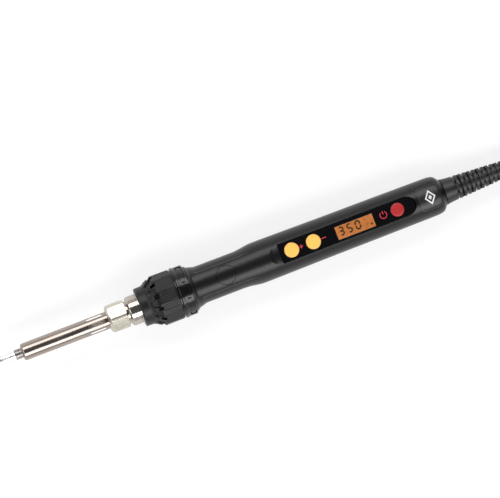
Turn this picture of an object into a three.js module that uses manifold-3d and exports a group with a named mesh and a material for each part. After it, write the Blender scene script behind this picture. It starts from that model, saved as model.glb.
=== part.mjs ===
// A pen-style soldering iron with a built-in thermostat: chisel tip, slotted barrel and union nut,
// vented heat collar, two-part handle with a control panel, ribbed strain relief, and its mains lead
// folded into a tied hank. Millimetres, +Z up. The origin is on the bench, under the iron's middle.
//
// Inside the iron's own group, x is the station along the axis, counted from the barrel's mouth
// towards the cord, z points out of the control panel and the axis is y = z = 0.
import * as THREE from "three";
import { mergeVertices } from "three/addons/utils/BufferGeometryUtils.js";
import Module from "manifold-3d";

const wasm = await Module();
wasm.setup();

// ---- Driving dimensions -------------------------------------------------------------------------

const GAP = 0.3; // clearance between pieces that touch or nest
const ROUND = 32; // sides of a large round piece
const SMALL = 16; // sides of a small round piece
const MIDDLE = 128; // station of the iron's middle

const TIP = {
  end: -20, bevel: 10, edge: 0.7, shank: 2.6, shoulder: 2.3, body: 3.6, back: 26, bore: 2.3, boreEnd: -4,
};
const HEATER = { radius: 2, front: -3.5, back: 88 };
const BARREL = { radius: 4.5, bore: 4, mouth: 3.25, lip: 2, flange: 5.8, flangeFront: 48.8, back: 50.2 };
const SLOT = { count: 6, front: 35.7, back: 44.9, width: 2.2 };
const NUT = { front: 46.5, back: 56.5, radius: 7.58, flats: 13.9, wall: 2, bore: 6.6, chamfer: 1.4, turn: 7 };
const BUSH = { front: 50.5, shoulder: 57.8, back: 71, neck: 6.25, sleeve: 7.75, bore: 4.8 };
const LOCK_RING = { front: 66.3, back: 68.3, radius: 8.4 };
const COLLAR = {
  front: 64, cone: 68, prism: 73.6, back: 83.9, wall: 2, radius: 13.4, rearRadius: 13.2, cavity: 11.3,
  turn: 10,
};
const VENT = { count: 12, station: 72.9, radius: 1.3, turn: -10 };
const HEATER_MOUNT = { front: 71.8, back: 82, radius: 5.5, flange: 8.9, flangeFront: 79 };
const RING = { front: 84.5, step: 86, back: 91, radius: 13.45, band: 13.2, bore: 11.2, bandDepth: 0.7 };
const HANDLE = { front: 76, shoulder: 91.3, rear: 223.5, rearRadius: 10.15, back: 230.4, spigot: 10.9 };
const CAVITY = { front: 9.3, grip: 8.4, body: 8.7, rear: 7.6, back: 226.7 };
const PANEL = {
  front: 139.8, back: 214.2, width: 10.2, top: 9.05, thickness: 1.15, endLength: 6.1, ramp: 5.7,
};
const DECK = { front: 134, back: 216, halfWidth: 8, bottom: 6.4, top: 7.6 };
const DISPLAY = { front: 169.4, back: 192.3, halfWidth: 4.6 };
const BUTTON = { top: 10, bottom: 6.3, flange: 0.8, rim: 0.7, clearance: 0.35 };
const BUTTONS = { plus: [146.1, 3.82], minus: [158, 3.82], power: [204.1, 3.5] }; // station, radius
const SWITCH = {
  side: 6, top: 3.3, bore: 2, boreFloor: 1.9, plunger: 1.6, plungerFoot: 2.9, plungerTop: 4.9,
};
const BOARD = { front: 129, back: 209, halfWidth: 7.3, thickness: 1.6, screws: [136, 196.5] };
const CAP = { station: 110.2, radius: 4.9, floor: 8.4 };
const FRONT_SCREW = { head: 3, headTop: 6.6, ledge: 4.4, shank: 1.2, foot: -6.6 };
const BADGE = { front: 215.7, back: 228.4, halfAngle: 40.5, depth: 0.9 };
const REAR_SCREW = { station: 221.6, side: 5.6, head: 1.5, headTop: 6.4, ledge: 5.2, shank: 0.8, foot: -4.2 };
const CLAMP = { front: 213, back: 217.5, arch: 4.7, seat: 3.3, reach: 7.6, foot: -1.4, screwSide: 6 };
const BOOT = {
  flangeFront: 224.9, flangeBack: 226.4, flange: 6.2, neck: 4.3, front: 230.7, back: 276, bore: 3.3,
};
const CORD = { radius: 3, start: 211.5, sides: 10 };
const LEAD = { radius: 0.55, sides: 6 };

// The mains lead beyond the strain relief, in the bench's frame. The hank has two round lobes joined
// by a waist that the tie holds, three turns high.
const HANK = {
  nearX: 208, farX: 258, lobe: 26.1, height: 18.4, waist: 20.3, waistLift: 1.5, waistTop: 19.8,
};
const TIE = { halfWidth: 5, thickness: 1.2 };
const PLUG = { back: 292, sleeve: 8, face: 335, pinLength: 19, width: 35.3, height: 13.7, y: 8, z: 7.1 };
const PIN = { radius: 2, spacing: 18.6 };

// The iron lies on its front ring and on the rear of its handle, so its tip end stands a little high.
const TILT = Math.atan((RING.radius - HANDLE.rearRadius) / (HANDLE.rear - RING.step));
const LIFT = (RING.step - MIDDLE) * Math.sin(TILT) + RING.radius * Math.cos(TILT);

// ---- Shapes -------------------------------------------------------------------------------------

// A solid of revolution about the iron's axis from [station, radius] points.
function revolve(profile, sides = ROUND) {
  const points = profile.map(([station, radius]) => new THREE.Vector2(radius, station));
  return new THREE.LatheGeometry(points, sides).rotateZ(-Math.PI / 2);
}

// A round sleeve between two stations.
function sleeve(front, back, outer, inner, sides = ROUND) {
  return revolve([[front, inner], [front, outer], [back, outer], [back, inner], [front, inner]], sides);
}

// A round bar along the axis between two stations, moved aside by y and z.
function bar(front, back, radius, sides = SMALL, y = 0, z = 0) {
  return revolve([[front, 0], [front, radius], [back, radius], [back, 0]], sides).translate(0, y, z);
}

// A round post along z.
function post(station, y, radius, bottom, top, sides = SMALL) {
  return new THREE.CylinderGeometry(radius, radius, top - bottom, sides)
    .rotateX(Math.PI / 2)
    .translate(station, y, (bottom + top) / 2);
}

function block(front, back, left, right, bottom, top) {
  return new THREE.BoxGeometry(back - front, right - left, top - bottom)
    .translate((front + back) / 2, (left + right) / 2, (bottom + top) / 2);
}

// An outline drawn in x and y, raised from bottom to top.
function raise(shape, bottom, top, curveSegments = 8) {
  const depth = top - bottom;
  return new THREE.ExtrudeGeometry(shape, { depth, bevelEnabled: false, curveSegments })
    .translate(0, 0, bottom);
}

// An outline drawn in y and z, drawn out along x between two stations.
function drawOut(shape, front, back, curveSegments = 8) {
  const turn = new THREE.Matrix4().makeBasis(
    new THREE.Vector3(0, 1, 0), new THREE.Vector3(0, 0, 1), new THREE.Vector3(1, 0, 0));
  return raise(shape, front, back, curveSegments).applyMatrix4(turn);
}

// A closed tube along a smooth curve through points.
function tube(points, radius, sides, steps) {
  const path = new THREE.CatmullRomCurve3(points.map((p) => new THREE.Vector3(...p)));
  const section = new THREE.Shape(
    Array.from({ length: sides }, (_, i) => {
      const angle = (2 * Math.PI * (i + 0.5)) / sides;
      return new THREE.Vector2(radius * Math.cos(angle), radius * Math.sin(angle));
    }));
  return new THREE.ExtrudeGeometry(section, { steps, extrudePath: path });
}

// ---- Joining and cutting ------------------------------------------------------------------------

function solid(geometry) {
  const bare = geometry.clone();
  bare.deleteAttribute("normal");
  bare.deleteAttribute("uv");
  const merged = mergeVertices(bare);
  return new wasm.Manifold(new wasm.Mesh({
    numProp: 3,
    vertProperties: merged.attributes.position.array,
    triVerts: new Uint32Array(merged.index.array),
  }));
}

function surface(body) {
  const { vertProperties, triVerts } = body.getMesh();
  const geometry = new THREE.BufferGeometry();
  geometry.setAttribute("position", new THREE.BufferAttribute(vertProperties, 3));
  geometry.setIndex(new THREE.BufferAttribute(triVerts, 1));
  return geometry;
}

const join = (body, geometries) => geometries.reduce((sum, g) => sum.add(solid(g)), body);
const cut = (body, geometries) => geometries.reduce((rest, g) => rest.subtract(solid(g)), body);

// ---- Finishes -----------------------------------------------------------------------------------

const FINISH = {
  plating: ["#b9bbbd", 0.3, 1],
  ceramic: ["#e6e2da", 0.6, 0],
  stainless: ["#c9cacb", 0.18, 1],
  nickel: ["#dcdcda", 0.15, 1],
  chrome: ["#d4d6d8", 0.08, 1],
  spring: ["#8d9094", 0.4, 1],
  handle: ["#1c1a1a", 0.42, 0],
  collar: ["#161515", 0.38, 0],
  panel: ["#08080a", 0.08, 0],
  yellow: ["#facd6e", 0.45, 0],
  red: ["#c82328", 0.4, 0],
  amber: ["#c87d32", 0.3, 0],
  board: ["#1d5a34", 0.5, 0],
  chip: ["#17181a", 0.5, 0],
  component: ["#b58a2e", 0.5, 0],
  screw: ["#a9abad", 0.35, 1],
  wire: ["#b8322b", 0.5, 0],
  wireBlue: ["#2c5fa8", 0.5, 0],
  rubber: ["#171616", 0.6, 0],
  brass: ["#c9a24c", 0.3, 1],
};

function piece(name, geometry, finish) {
  const [color, roughness, metalness] = FINISH[finish];
  const mesh = new THREE.Mesh(geometry, new THREE.MeshStandardMaterial({ color, roughness, metalness }));
  mesh.name = name;
  return mesh;
}

// ---- Tip, heater and barrel ---------------------------------------------------------------------

// A chisel on a round shank. Its body widens behind the barrel's lip and slides over the heater.
function solderingTip() {
  const round = solid(revolve([
    [TIP.end, 0], [TIP.end, TIP.shank], [TIP.shoulder, TIP.shank], [TIP.shoulder, TIP.body],
    [TIP.back, TIP.body], [TIP.back, TIP.bore], [TIP.boreEnd, TIP.bore], [TIP.boreEnd - 1, 0],
  ], 20));
  const wedge = new THREE.Shape([
    [TIP.end - 1, -TIP.edge / 2], [TIP.end + TIP.bevel, -TIP.shank - 0.1],
    [TIP.end + TIP.bevel, -2 * TIP.body],
    [TIP.back + 1, -2 * TIP.body], [TIP.back + 1, 2 * TIP.body], [TIP.end + TIP.bevel, 2 * TIP.body],
    [TIP.end + TIP.bevel, TIP.shank + 0.1], [TIP.end - 1, TIP.edge / 2],
  ].map(([x, z]) => new THREE.Vector2(x, z)));
  const upright = raise(wedge, -TIP.body - 1, TIP.body + 1).rotateX(Math.PI / 2);
  return surface(round.intersect(solid(upright)));
}

function heaterCore() {
  const { radius, front, back } = HEATER;
  return revolve([
    [front, 0], [front, radius - 0.5], [front + 0.6, radius], [back, radius], [back, 0],
  ], SMALL);
}

// A thin tube with a rounded mouth that holds the tip's shoulder, six slots and a flange in the nut.
function barrelTube() {
  const { radius, bore, mouth, lip, flange, flangeFront, back } = BARREL;
  const tubeBody = solid(revolve([
    [0, mouth], [0, mouth + 0.5], [0.4, radius - 0.4], [1.1, radius - 0.15], [lip + 0.2, radius],
    [flangeFront, radius], [flangeFront, flange], [back, flange], [back, bore], [lip, bore],
    [lip, mouth], [0, mouth],
  ]));
  const halfWidth = SLOT.width / 2;
  const outline = new THREE.Shape();
  outline.absarc(SLOT.back - halfWidth, 0, halfWidth, -Math.PI / 2, Math.PI / 2);
  outline.absarc(SLOT.front + halfWidth, 0, halfWidth, Math.PI / 2, 1.5 * Math.PI);
  const slots = Array.from({ length: SLOT.count }, (_, i) =>
    raise(outline, 1, radius + 1, 5).rotateX((2 * Math.PI * i) / SLOT.count));
  return surface(cut(tubeBody, slots));
}

// A hexagonal union nut with rounded corners. Its front wall holds the barrel's flange.
function barrelNut() {
  const { front, back, radius, flats, wall, bore, chamfer, turn } = NUT;
  const mouth = BARREL.radius + GAP;
  const round = solid(revolve([
    [front, mouth], [front, radius - chamfer], [front + chamfer, radius], [back - 0.4, radius],
    [back, radius - 0.4], [back, bore], [front + wall, bore], [front + wall, mouth], [front, mouth],
  ]));
  const hexagon = new THREE.CylinderGeometry(flats / Math.sqrt(3), flats / Math.sqrt(3), back - front + 2, 6)
    .rotateZ(Math.PI / 2)
    .rotateX(THREE.MathUtils.degToRad(turn))
    .translate((front + back) / 2, 0, 0);
  return surface(round.intersect(solid(hexagon)));
}

// The threaded neck that the nut screws on, the bright sleeve, and the tail through the collar.
function threadedBush() {
  const { front, shoulder, back, neck, sleeve: rim, bore } = BUSH;
  const tail = COLLAR.front - GAP;
  return revolve([
    [front, bore], [front, neck - 0.4], [front + 0.4, neck], [shoulder, neck], [shoulder, neck + 0.4],
    [shoulder + 0.4, rim - 0.5], [shoulder + 1.3, rim], [tail, rim], [tail, neck], [back, neck],
    [back, bore], [front, bore],
  ]);
}

function heaterMount() {
  const { front, back, radius, flange, flangeFront } = HEATER_MOUNT;
  const bore = HEATER.radius + GAP;
  return revolve([
    [front, bore], [front, radius], [flangeFront, radius], [flangeFront, flange], [back, flange],
    [back, bore], [front, bore],
  ], 24);
}

// ---- Collar and ring ----------------------------------------------------------------------------

// A cone behind a short cylinder, then a twelve-sided skirt, hollow, with a vent ahead of each flat.
function heatCollar() {
  const { front, cone, prism, back, wall, radius, rearRadius, cavity, turn } = COLLAR;
  const hole = BUSH.neck + GAP;
  const round = solid(revolve([
    [front, hole], [front, 9.9], [front + 0.3, 10.1], [cone, 10.25], [69, 10.7], [70.5, 11.65],
    [72, 12.35], [prism, 13.2], [prism + 1, 14], [back, 14], [back, cavity], [prism, cavity],
    [69, 8.9], [front + wall, 8.6], [front + wall, hole], [front, hole],
  ], 24));
  const skirt = new THREE.CylinderGeometry(radius, rearRadius, back - front + 2, 12)
    .rotateZ(Math.PI / 2)
    .rotateX(THREE.MathUtils.degToRad(turn))
    .translate((front + back) / 2, 0, 0);
  const vents = Array.from({ length: VENT.count }, (_, i) =>
    post(VENT.station, 0, VENT.radius, cavity - 3, radius + 2, 8)
      .rotateX(THREE.MathUtils.degToRad(VENT.turn + (360 * i) / VENT.count)));
  return surface(cut(round.intersect(solid(skirt)), vents));
}

// An arc of a band about the axis, for cutting pockets into the ring.
function bandArc(front, back, inner, outer, middleDegrees, spanDegrees) {
  const from = THREE.MathUtils.degToRad(90 + middleDegrees - spanDegrees / 2);
  const to = THREE.MathUtils.degToRad(90 + middleDegrees + spanDegrees / 2);
  const arc = new THREE.Shape();
  arc.absarc(0, 0, outer, from, to, false);
  arc.absarc(0, 0, inner, to, from, true);
  return drawOut(arc, front, back, 5);
}

// The ring between collar and handle, with four long pockets and four square ones round its band.
function frontRing() {
  const { front, step, back, radius, band, bore, bandDepth } = RING;
  const body = solid(revolve([
    [front, bore], [front, radius - 0.4], [front + 0.4, radius], [step, radius], [step + 0.2, band],
    [back - 0.4, band], [back, band - 0.4], [back, bore], [front, bore],
  ], 36));
  const floor = band - bandDepth;
  const pockets = [0, 1, 2, 3].flatMap((i) => [
    bandArc(86.9, 90.2, floor, band + 1, 45 + 90 * i, 56),
    bandArc(87.2, 89.8, floor, band + 1, 90 * i, 12),
  ]);
  return surface(cut(body, pockets));
}

// ---- Handle -------------------------------------------------------------------------------------

const HANDLE_OUTLINE = [
  [HANDLE.front, 0], [HANDLE.front, HANDLE.spigot], [HANDLE.shoulder, HANDLE.spigot],
  [HANDLE.shoulder, 11.95], [91.9, 11.8], [92.6, 11.15], [93.5, 10.7], [95, 10.4], [96.5, 10.25],
  [119.5, 10.2], [122, 10.35], [125, 10.65], [128.6, 10.9], [144, 10.75], [166, 10.5], [192, 10.4],
  [209, 10.25], [HANDLE.rear, HANDLE.rearRadius], [225.4, 10.05], [227, 9.75], [228.1, 9.3],
  [229, 8.4], [229.7, 7.4], [HANDLE.back, 6.9], [HANDLE.back, 0],
];
const CAVITY_OUTLINE = [
  [HANDLE.front - 1, 0], [HANDLE.front - 1, CAVITY.front], [91, CAVITY.front], [93.5, CAVITY.grip],
  [119, CAVITY.grip], [125, CAVITY.body], [200, CAVITY.body], [223, 8.1], [CAVITY.back, CAVITY.rear],
  [CAVITY.back, 0],
];

const handleForm = () => solid(revolve(HANDLE_OUTLINE, 40));
const handleCavity = () => solid(revolve(CAVITY_OUTLINE, 40));

// The panel's outline, grown by a margin: square at the front and half an ellipse at the rear.
function panelOutline(margin) {
  const halfWidth = PANEL.width / 2 + margin;
  const bend = PANEL.back - PANEL.endLength;
  const outline = new THREE.Shape();
  outline.moveTo(PANEL.front - margin, -halfWidth);
  outline.lineTo(bend, -halfWidth);
  outline.absellipse(bend, 0, PANEL.endLength + margin, halfWidth, -Math.PI / 2, Math.PI / 2, false, 0);
  outline.lineTo(PANEL.front - margin, halfWidth);
  return outline;
}

// The dished ramp that leads a thumb into the panel.
function panelRamp() {
  const foot = PANEL.front + 1;
  const side = new THREE.Shape([
    [foot - PANEL.ramp - 2, 11.2], [foot, PANEL.top - 0.4], [foot, 12],
    [foot - PANEL.ramp - 2, 12],
  ].map(([x, z]) => new THREE.Vector2(x, -z)));
  return raise(side, -PANEL.width / 2 - GAP, PANEL.width / 2 + GAP).rotateX(-Math.PI / 2);
}

function badgeBand(inner, outer, margin) {
  const { front, back, halfAngle } = BADGE;
  return bandArc(front - margin, back + margin, inner, outer, 0, 2 * halfAngle + 10 * margin);
}

const buttonList = Object.entries(BUTTONS);
const bothSides = (distance) => [-distance, distance];

function upperShell() {
  const topHalf = solid(block(HANDLE.front - 1, HANDLE.back + 1, -20, 20, GAP / 2, 20));
  const deck = block(DECK.front, DECK.back, -DECK.halfWidth, DECK.halfWidth, DECK.bottom, DECK.top);
  const bosses = [
    post(CAP.station, 0, 4.6, 0, 12),
    ...bothSides(REAR_SCREW.side).map((y) => post(REAR_SCREW.station, y, 2.25, 0, 9, 12)),
  ];
  const added = join(solid(deck), bosses).intersect(handleForm());
  const shell = handleForm().subtract(handleCavity()).add(added).intersect(topHalf);
  const holes = [
    post(CAP.station, 0, CAP.radius + GAP, CAP.floor - GAP, 12, 24),
    post(CAP.station, 0, FRONT_SCREW.head + GAP, FRONT_SCREW.ledge - GAP, 12),
    post(CAP.station, 0, FRONT_SCREW.shank + GAP, -1, 12, 12),
    raise(panelOutline(GAP), PANEL.top - PANEL.thickness - GAP, 12),
    panelRamp(),
    block(DISPLAY.front - GAP, DISPLAY.back + GAP, -DISPLAY.halfWidth - GAP, DISPLAY.halfWidth + GAP, 0, 12),
    ...buttonList.map(([, [station, radius]]) => post(station, 0, radius + BUTTON.clearance, 0, 12, 20)),
    badgeBand(HANDLE.rearRadius - BADGE.depth - GAP, 12, GAP),
    ...bothSides(REAR_SCREW.side).flatMap((y) => [
      post(REAR_SCREW.station, y, REAR_SCREW.head + GAP, REAR_SCREW.ledge - GAP, 12, 12),
      post(REAR_SCREW.station, y, REAR_SCREW.shank + GAP, -1, 12, 8),
    ]),
    bar(CAVITY.back - 1, HANDLE.back + 1, BOOT.neck + GAP),
  ];
  return surface(cut(shell, holes));
}

function lowerShell() {
  const bottomHalf = solid(block(HANDLE.front - 1, HANDLE.back + 1, -20, 20, -20, -GAP / 2));
  const boardFloor = -BOARD.thickness - GAP;
  const posts = [
    post(CAP.station, 0, 3.4, -12, 0),
    ...BOARD.screws.map((station) => post(station, 0, 2.5, -12, boardFloor)),
    ...bothSides(CLAMP.screwSide).map((y) =>
      post((CLAMP.front + CLAMP.back) / 2, y, 1.8, -12, CLAMP.foot - GAP, 12)),
    ...bothSides(REAR_SCREW.side).map((y) => post(REAR_SCREW.station, y, 2.25, -12, 0, 12)),
    block(CLAMP.front, CLAMP.back, -4, 4, -12, CLAMP.foot - GAP),
  ];
  const [first, ...others] = posts;
  const added = join(solid(first), others).intersect(handleForm());
  const shell = handleForm().subtract(handleCavity()).add(added).intersect(bottomHalf);
  const holes = [
    post(CAP.station, 0, FRONT_SCREW.shank + GAP, FRONT_SCREW.foot - GAP, 1, 12),
    ...BOARD.screws.map((station) => post(station, 0, 0.9 + GAP, -6.5, 1, 8)),
    ...bothSides(CLAMP.screwSide).map((y) => post((CLAMP.front + CLAMP.back) / 2, y, 0.7 + GAP, -4.9, 1, 8)),
    ...bothSides(REAR_SCREW.side).map((y) =>
      post(REAR_SCREW.station, y, REAR_SCREW.shank + GAP, REAR_SCREW.foot - GAP, 1, 8)),
    bar(CLAMP.front - 1, CLAMP.back + 1, CLAMP.seat),
    bar(CAVITY.back - 1, HANDLE.back + 1, BOOT.neck + GAP),
  ];
  return surface(cut(shell, holes));
}

// The plug over the front screw, flush with the round of the grip.
function screwCap() {
  return surface(solid(post(CAP.station, 0, CAP.radius, CAP.floor, 12, 24)).intersect(handleForm()));
}

// A pan-head screw that points down.
function screw(station, y, head, headTop, ledge, shank, foot) {
  return surface(join(solid(post(station, y, head, ledge, headTop, 12)), [
    post(station, y, shank, foot, ledge + 0.1, 8),
  ]));
}

function badgePlate() {
  const outer = HANDLE.rearRadius - 0.02;
  return surface(solid(badgeBand(outer - BADGE.depth, outer, 0)).intersect(handleForm()));
}

// ---- Panel, buttons and display -----------------------------------------------------------------

function displayPanel() {
  const plate = solid(raise(panelOutline(0), PANEL.top - PANEL.thickness, PANEL.top));
  return surface(cut(plate, buttonList.map(([, [station, radius]]) =>
    post(station, 0, radius + BUTTON.clearance, 0, 12, 20))));
}

// A button with a rounded crown and a flange that the deck keeps in.
function button([station, radius]) {
  const { top, bottom, flange, rim } = BUTTON;
  const profile = [
    [0, bottom - flange], [radius + rim, bottom - flange], [radius + rim, bottom - 0.2],
    [radius, bottom - 0.2], [radius, top - 0.5], [radius - 0.2, top - 0.2], [radius - 0.6, top], [0, top],
  ].map(([r, z]) => new THREE.Vector2(r, z));
  return new THREE.LatheGeometry(profile, 20).rotateX(Math.PI / 2).translate(station, 0, 0);
}

function switchBody([station]) {
  const half = SWITCH.side / 2;
  return surface(cut(solid(block(station - half, station + half, -half, half, GAP, SWITCH.top)), [
    post(station, 0, SWITCH.bore, SWITCH.boreFloor, SWITCH.top + 1, 12),
  ]));
}

const plunger = ([station]) => post(station, 0, SWITCH.plunger, SWITCH.plungerFoot, SWITCH.plungerTop, 12);

function circuitBoard() {
  const { front, back, halfWidth, thickness, screws } = BOARD;
  const board = solid(block(front, back, -halfWidth, halfWidth, -thickness, 0));
  return surface(cut(board, screws.map((station) => post(station, 0, 0.9 + GAP, -3, 1, 10))));
}

// ---- Cord entry ---------------------------------------------------------------------------------

function cordClamp() {
  const { front, back, arch, seat, reach, foot, screwSide } = CLAMP;
  const saddle = new THREE.Shape();
  saddle.moveTo(-reach, foot);
  saddle.lineTo(-seat - 0.2, foot);
  saddle.lineTo(-seat, 0);
  saddle.absarc(0, 0, seat, Math.PI, 0, true);
  saddle.lineTo(seat + 0.2, foot);
  saddle.lineTo(reach, foot);
  saddle.lineTo(reach, 0.2);
  saddle.lineTo(arch, 0.2);
  saddle.absarc(0, 0, arch, 0.05, Math.PI - 0.05, false);
  saddle.lineTo(-arch, 0.2);
  saddle.lineTo(-reach, 0.2);
  const body = solid(drawOut(saddle, front, back, 8));
  const holes = bothSides(screwSide).map((y) => post((front + back) / 2, y, 0.7 + GAP, -3, 3, 8));
  return surface(cut(body, holes));
}

function strainBoot() {
  const { flangeFront, flangeBack, flange, neck, front, back, bore } = BOOT;
  return revolve([
    [flangeFront, bore], [flangeFront, flange], [flangeBack, flange], [flangeBack, neck], [front, neck],
    [front, 6.85], [234, 6.37], [238, 6.05], [242, 5.8], [247, 5.5], [254, 5.1], [259, 4.7],
    [266, 4.4], [back - 0.5, 4.2], [back, 3.9], [back, bore], [flangeFront, bore],
  ], 24);
}

// ---- Mains lead ---------------------------------------------------------------------------------

// Where the lead leaves the strain relief, in the bench's frame.
const exitX = (BOOT.back - MIDDLE + GAP) * Math.cos(TILT);
const exitZ = LIFT - (BOOT.back - MIDDLE + GAP) * Math.sin(TILT);

const LEAD_ROUTE = [
  [exitX, 0, exitZ], [exitX + 5, 0, exitZ - 0.2], [157, 0, 8.1], [163, 0.3, 6.8], [169, 1.9, 5.1],
  [174.2, 4.6, 3.8], [178.6, 7.9, 3.2],
];
const TAIL_ROUTE = [
  [285.1, 10.2, 5.6], [286.8, 9.1, 6.2], [288.8, 8.3, 6.8], [290.4, PLUG.y, PLUG.z],
  [PLUG.back - GAP, PLUG.y, PLUG.z],
];

const capsule = (x, radius) => new THREE.Shape().absarc(x, 0, radius, 0, 2 * Math.PI);

function cordHank() {
  const { nearX, farX, lobe, height, waist, waistLift, waistTop } = HANK;
  const middle = (nearX + farX) / 2;
  const slope = new THREE.Shape();
  slope.moveTo(nearX, -lobe);
  slope.bezierCurveTo(nearX + 12, -lobe, middle - 16, -waist, middle - TIE.halfWidth, -waist);
  slope.lineTo(middle + TIE.halfWidth, -waist);
  slope.bezierCurveTo(middle + 16, -waist, farX - 12, -lobe, farX, -lobe);
  slope.lineTo(farX, lobe);
  slope.bezierCurveTo(farX - 12, lobe, middle + 16, waist, middle + TIE.halfWidth, waist);
  slope.lineTo(middle - TIE.halfWidth, waist);
  slope.bezierCurveTo(middle - 16, waist, nearX + 12, lobe, nearX, lobe);
  const whole = join(solid(raise(slope, 0, height, 5)), [
    raise(capsule(nearX, lobe), 0, height, 14),
    raise(capsule(farX, lobe), 0, height, 14),
  ]);
  const bound = TIE.halfWidth + GAP;
  const raised = solid(block(middle - bound, middle + bound, -waist, waist, waistLift, waistTop));
  return surface(cut(whole, [block(middle - bound, middle + bound, -30, 30, -1, 30)]).add(raised));
}

function hankTie() {
  const middle = (HANK.nearX + HANK.farX) / 2;
  const y = HANK.waist + GAP;
  const loop = (grow) => new THREE.Shape([
    [-y - grow, HANK.waistLift - GAP - grow], [y + grow, HANK.waistLift - GAP - grow],
    [y + grow, HANK.waistTop + GAP + grow], [-y - grow, HANK.waistTop + GAP + grow],
  ].map(([py, pz]) => new THREE.Vector2(py, pz)));
  const band = loop(TIE.thickness);
  band.holes.push(loop(0));
  return drawOut(band, middle - TIE.halfWidth, middle + TIE.halfWidth);
}

// A slim two-pin plug: a waisted grip with a flat mating face, and the sleeve that the lead enters.
function plugBody() {
  const { back, sleeve: neck, face, width, height, y, z } = PLUG;
  const grip = new THREE.Shape();
  grip.moveTo(back + neck, -5);
  grip.bezierCurveTo(back + neck + 8, -8, face - 26, -width / 2, face - 17, -width / 2);
  grip.lineTo(face, -width / 2);
  grip.lineTo(face, width / 2);
  grip.lineTo(face - 17, width / 2);
  grip.bezierCurveTo(face - 26, width / 2, back + neck + 8, 8, back + neck, 5);
  const body = solid(raise(grip, -height / 2, height / 2, 6).translate(0, y, z));
  const entry = revolve([[back, 0], [back, 4], [back + neck + 1, 5], [back + neck + 1, 0]], SMALL)
    .translate(0, y, z);
  return surface(join(body, [entry]));
}

function plugPin(side) {
  const { face, pinLength, y, z } = PLUG;
  const end = face + pinLength;
  return revolve([
    [face + GAP, 0], [face + GAP, PIN.radius], [end - 1.2, PIN.radius], [end - 0.3, 1.3], [end, 0],
  ], 12).translate(0, y + (side * PIN.spacing) / 2, z);
}

// ---- Assembly -----------------------------------------------------------------------------------

const iron = new THREE.Group();
iron.position.x = -MIDDLE;
iron.add(
  piece("soldering_tip", solderingTip(), "plating"),
  piece("heater_core", heaterCore(), "ceramic"),
  piece("barrel_tube", barrelTube(), "stainless"),
  piece("barrel_nut", barrelNut(), "nickel"),
  piece("threaded_bush", threadedBush(), "chrome"),
  piece(
    "lock_ring", sleeve(LOCK_RING.front, LOCK_RING.back, LOCK_RING.radius, BUSH.neck + GAP, 24), "spring",
  ),
  piece("heater_mount", heaterMount(), "ceramic"),
  piece("heat_collar", heatCollar(), "collar"),
  piece("front_ring", frontRing(), "collar"),
  piece("upper_shell", upperShell(), "handle"),
  piece("lower_shell", lowerShell(), "handle"),
  piece("screw_cap", screwCap(), "handle"),
  piece("front_screw", screw(CAP.station, 0, FRONT_SCREW.head, FRONT_SCREW.headTop, FRONT_SCREW.ledge,
    FRONT_SCREW.shank, FRONT_SCREW.foot), "screw"),
  piece("badge_plate", badgePlate(), "handle"),
  piece("display_panel", displayPanel(), "panel"),
  piece("circuit_board", circuitBoard(), "board"),
  piece("strain_boot", strainBoot(), "rubber"),
  piece("cord_clamp", cordClamp(), "handle"),
  piece("cord_entry", bar(CORD.start, BOOT.back, CORD.radius), "rubber"),
);

// Fasteners that come in pairs.
for (const [index, y] of bothSides(REAR_SCREW.side).entries()) {
  const { station, head, headTop, ledge, shank, foot } = REAR_SCREW;
  iron.add(piece(`rear_screw_${index + 1}`, screw(station, y, head, headTop, ledge, shank, foot), "screw"));
}
for (const [index, station] of BOARD.screws.entries()) {
  iron.add(piece(`board_screw_${index + 1}`, screw(station, 0, 2, 1.7, GAP, 0.9, -6), "screw"));
}
for (const [index, y] of bothSides(CLAMP.screwSide).entries()) {
  const station = (CLAMP.front + CLAMP.back) / 2;
  iron.add(piece(`clamp_screw_${index + 1}`, screw(station, y, 1.4, 1.6, 0.5, 0.7, -4.5), "screw"));
}

for (const [name, seat] of buttonList) {
  iron.add(
    piece(`${name}_button`, button(seat), name === "power" ? "red" : "yellow"),
    piece(`${name}_plunger`, plunger(seat), "chip"),
    piece(`${name}_switch`, switchBody(seat), "chip"),
  );
}

// The display stands on the board, below a window in the deck.
const { front: displayFront, back: displayBack, halfWidth: displayHalf } = DISPLAY;
iron.add(
  piece("lcd_glass", block(displayFront, displayBack, -displayHalf, displayHalf, 6.4, 7.5), "amber"),
  piece("lcd_light_box", block(displayFront + 0.8, displayBack - 0.8, -displayHalf, 2.9, GAP, 6.1), "amber"),
  piece("lcd_connector", block(displayFront + 0.8, displayBack - 0.8, 3.2, displayHalf, GAP, 6.1), "chip"),
);

// What the board carries on its underside.
const under = -BOARD.thickness - GAP;
iron.add(
  piece("microcontroller", block(144, 152, -4, 4, under - 1.4, under), "chip"),
  piece("electrolytic_capacitor", bar(156, 168, 2.5, 12, 0, under - 2.5), "chip"),
  piece("film_capacitor", block(171, 183, -3, 3, under - 5.6, under), "component"),
  piece("fuse", bar(184.5, 193, 1.3, 10, 4.2, under - 1.3), "ceramic"),
  piece("power_resistor", bar(184.5, 193, 1.4, 10, -4.2, under - 1.4), "component"),
  piece("triac", block(200, 208.5, -4.5, 4.5, under - 2.8, under), "chip"),
);

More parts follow.
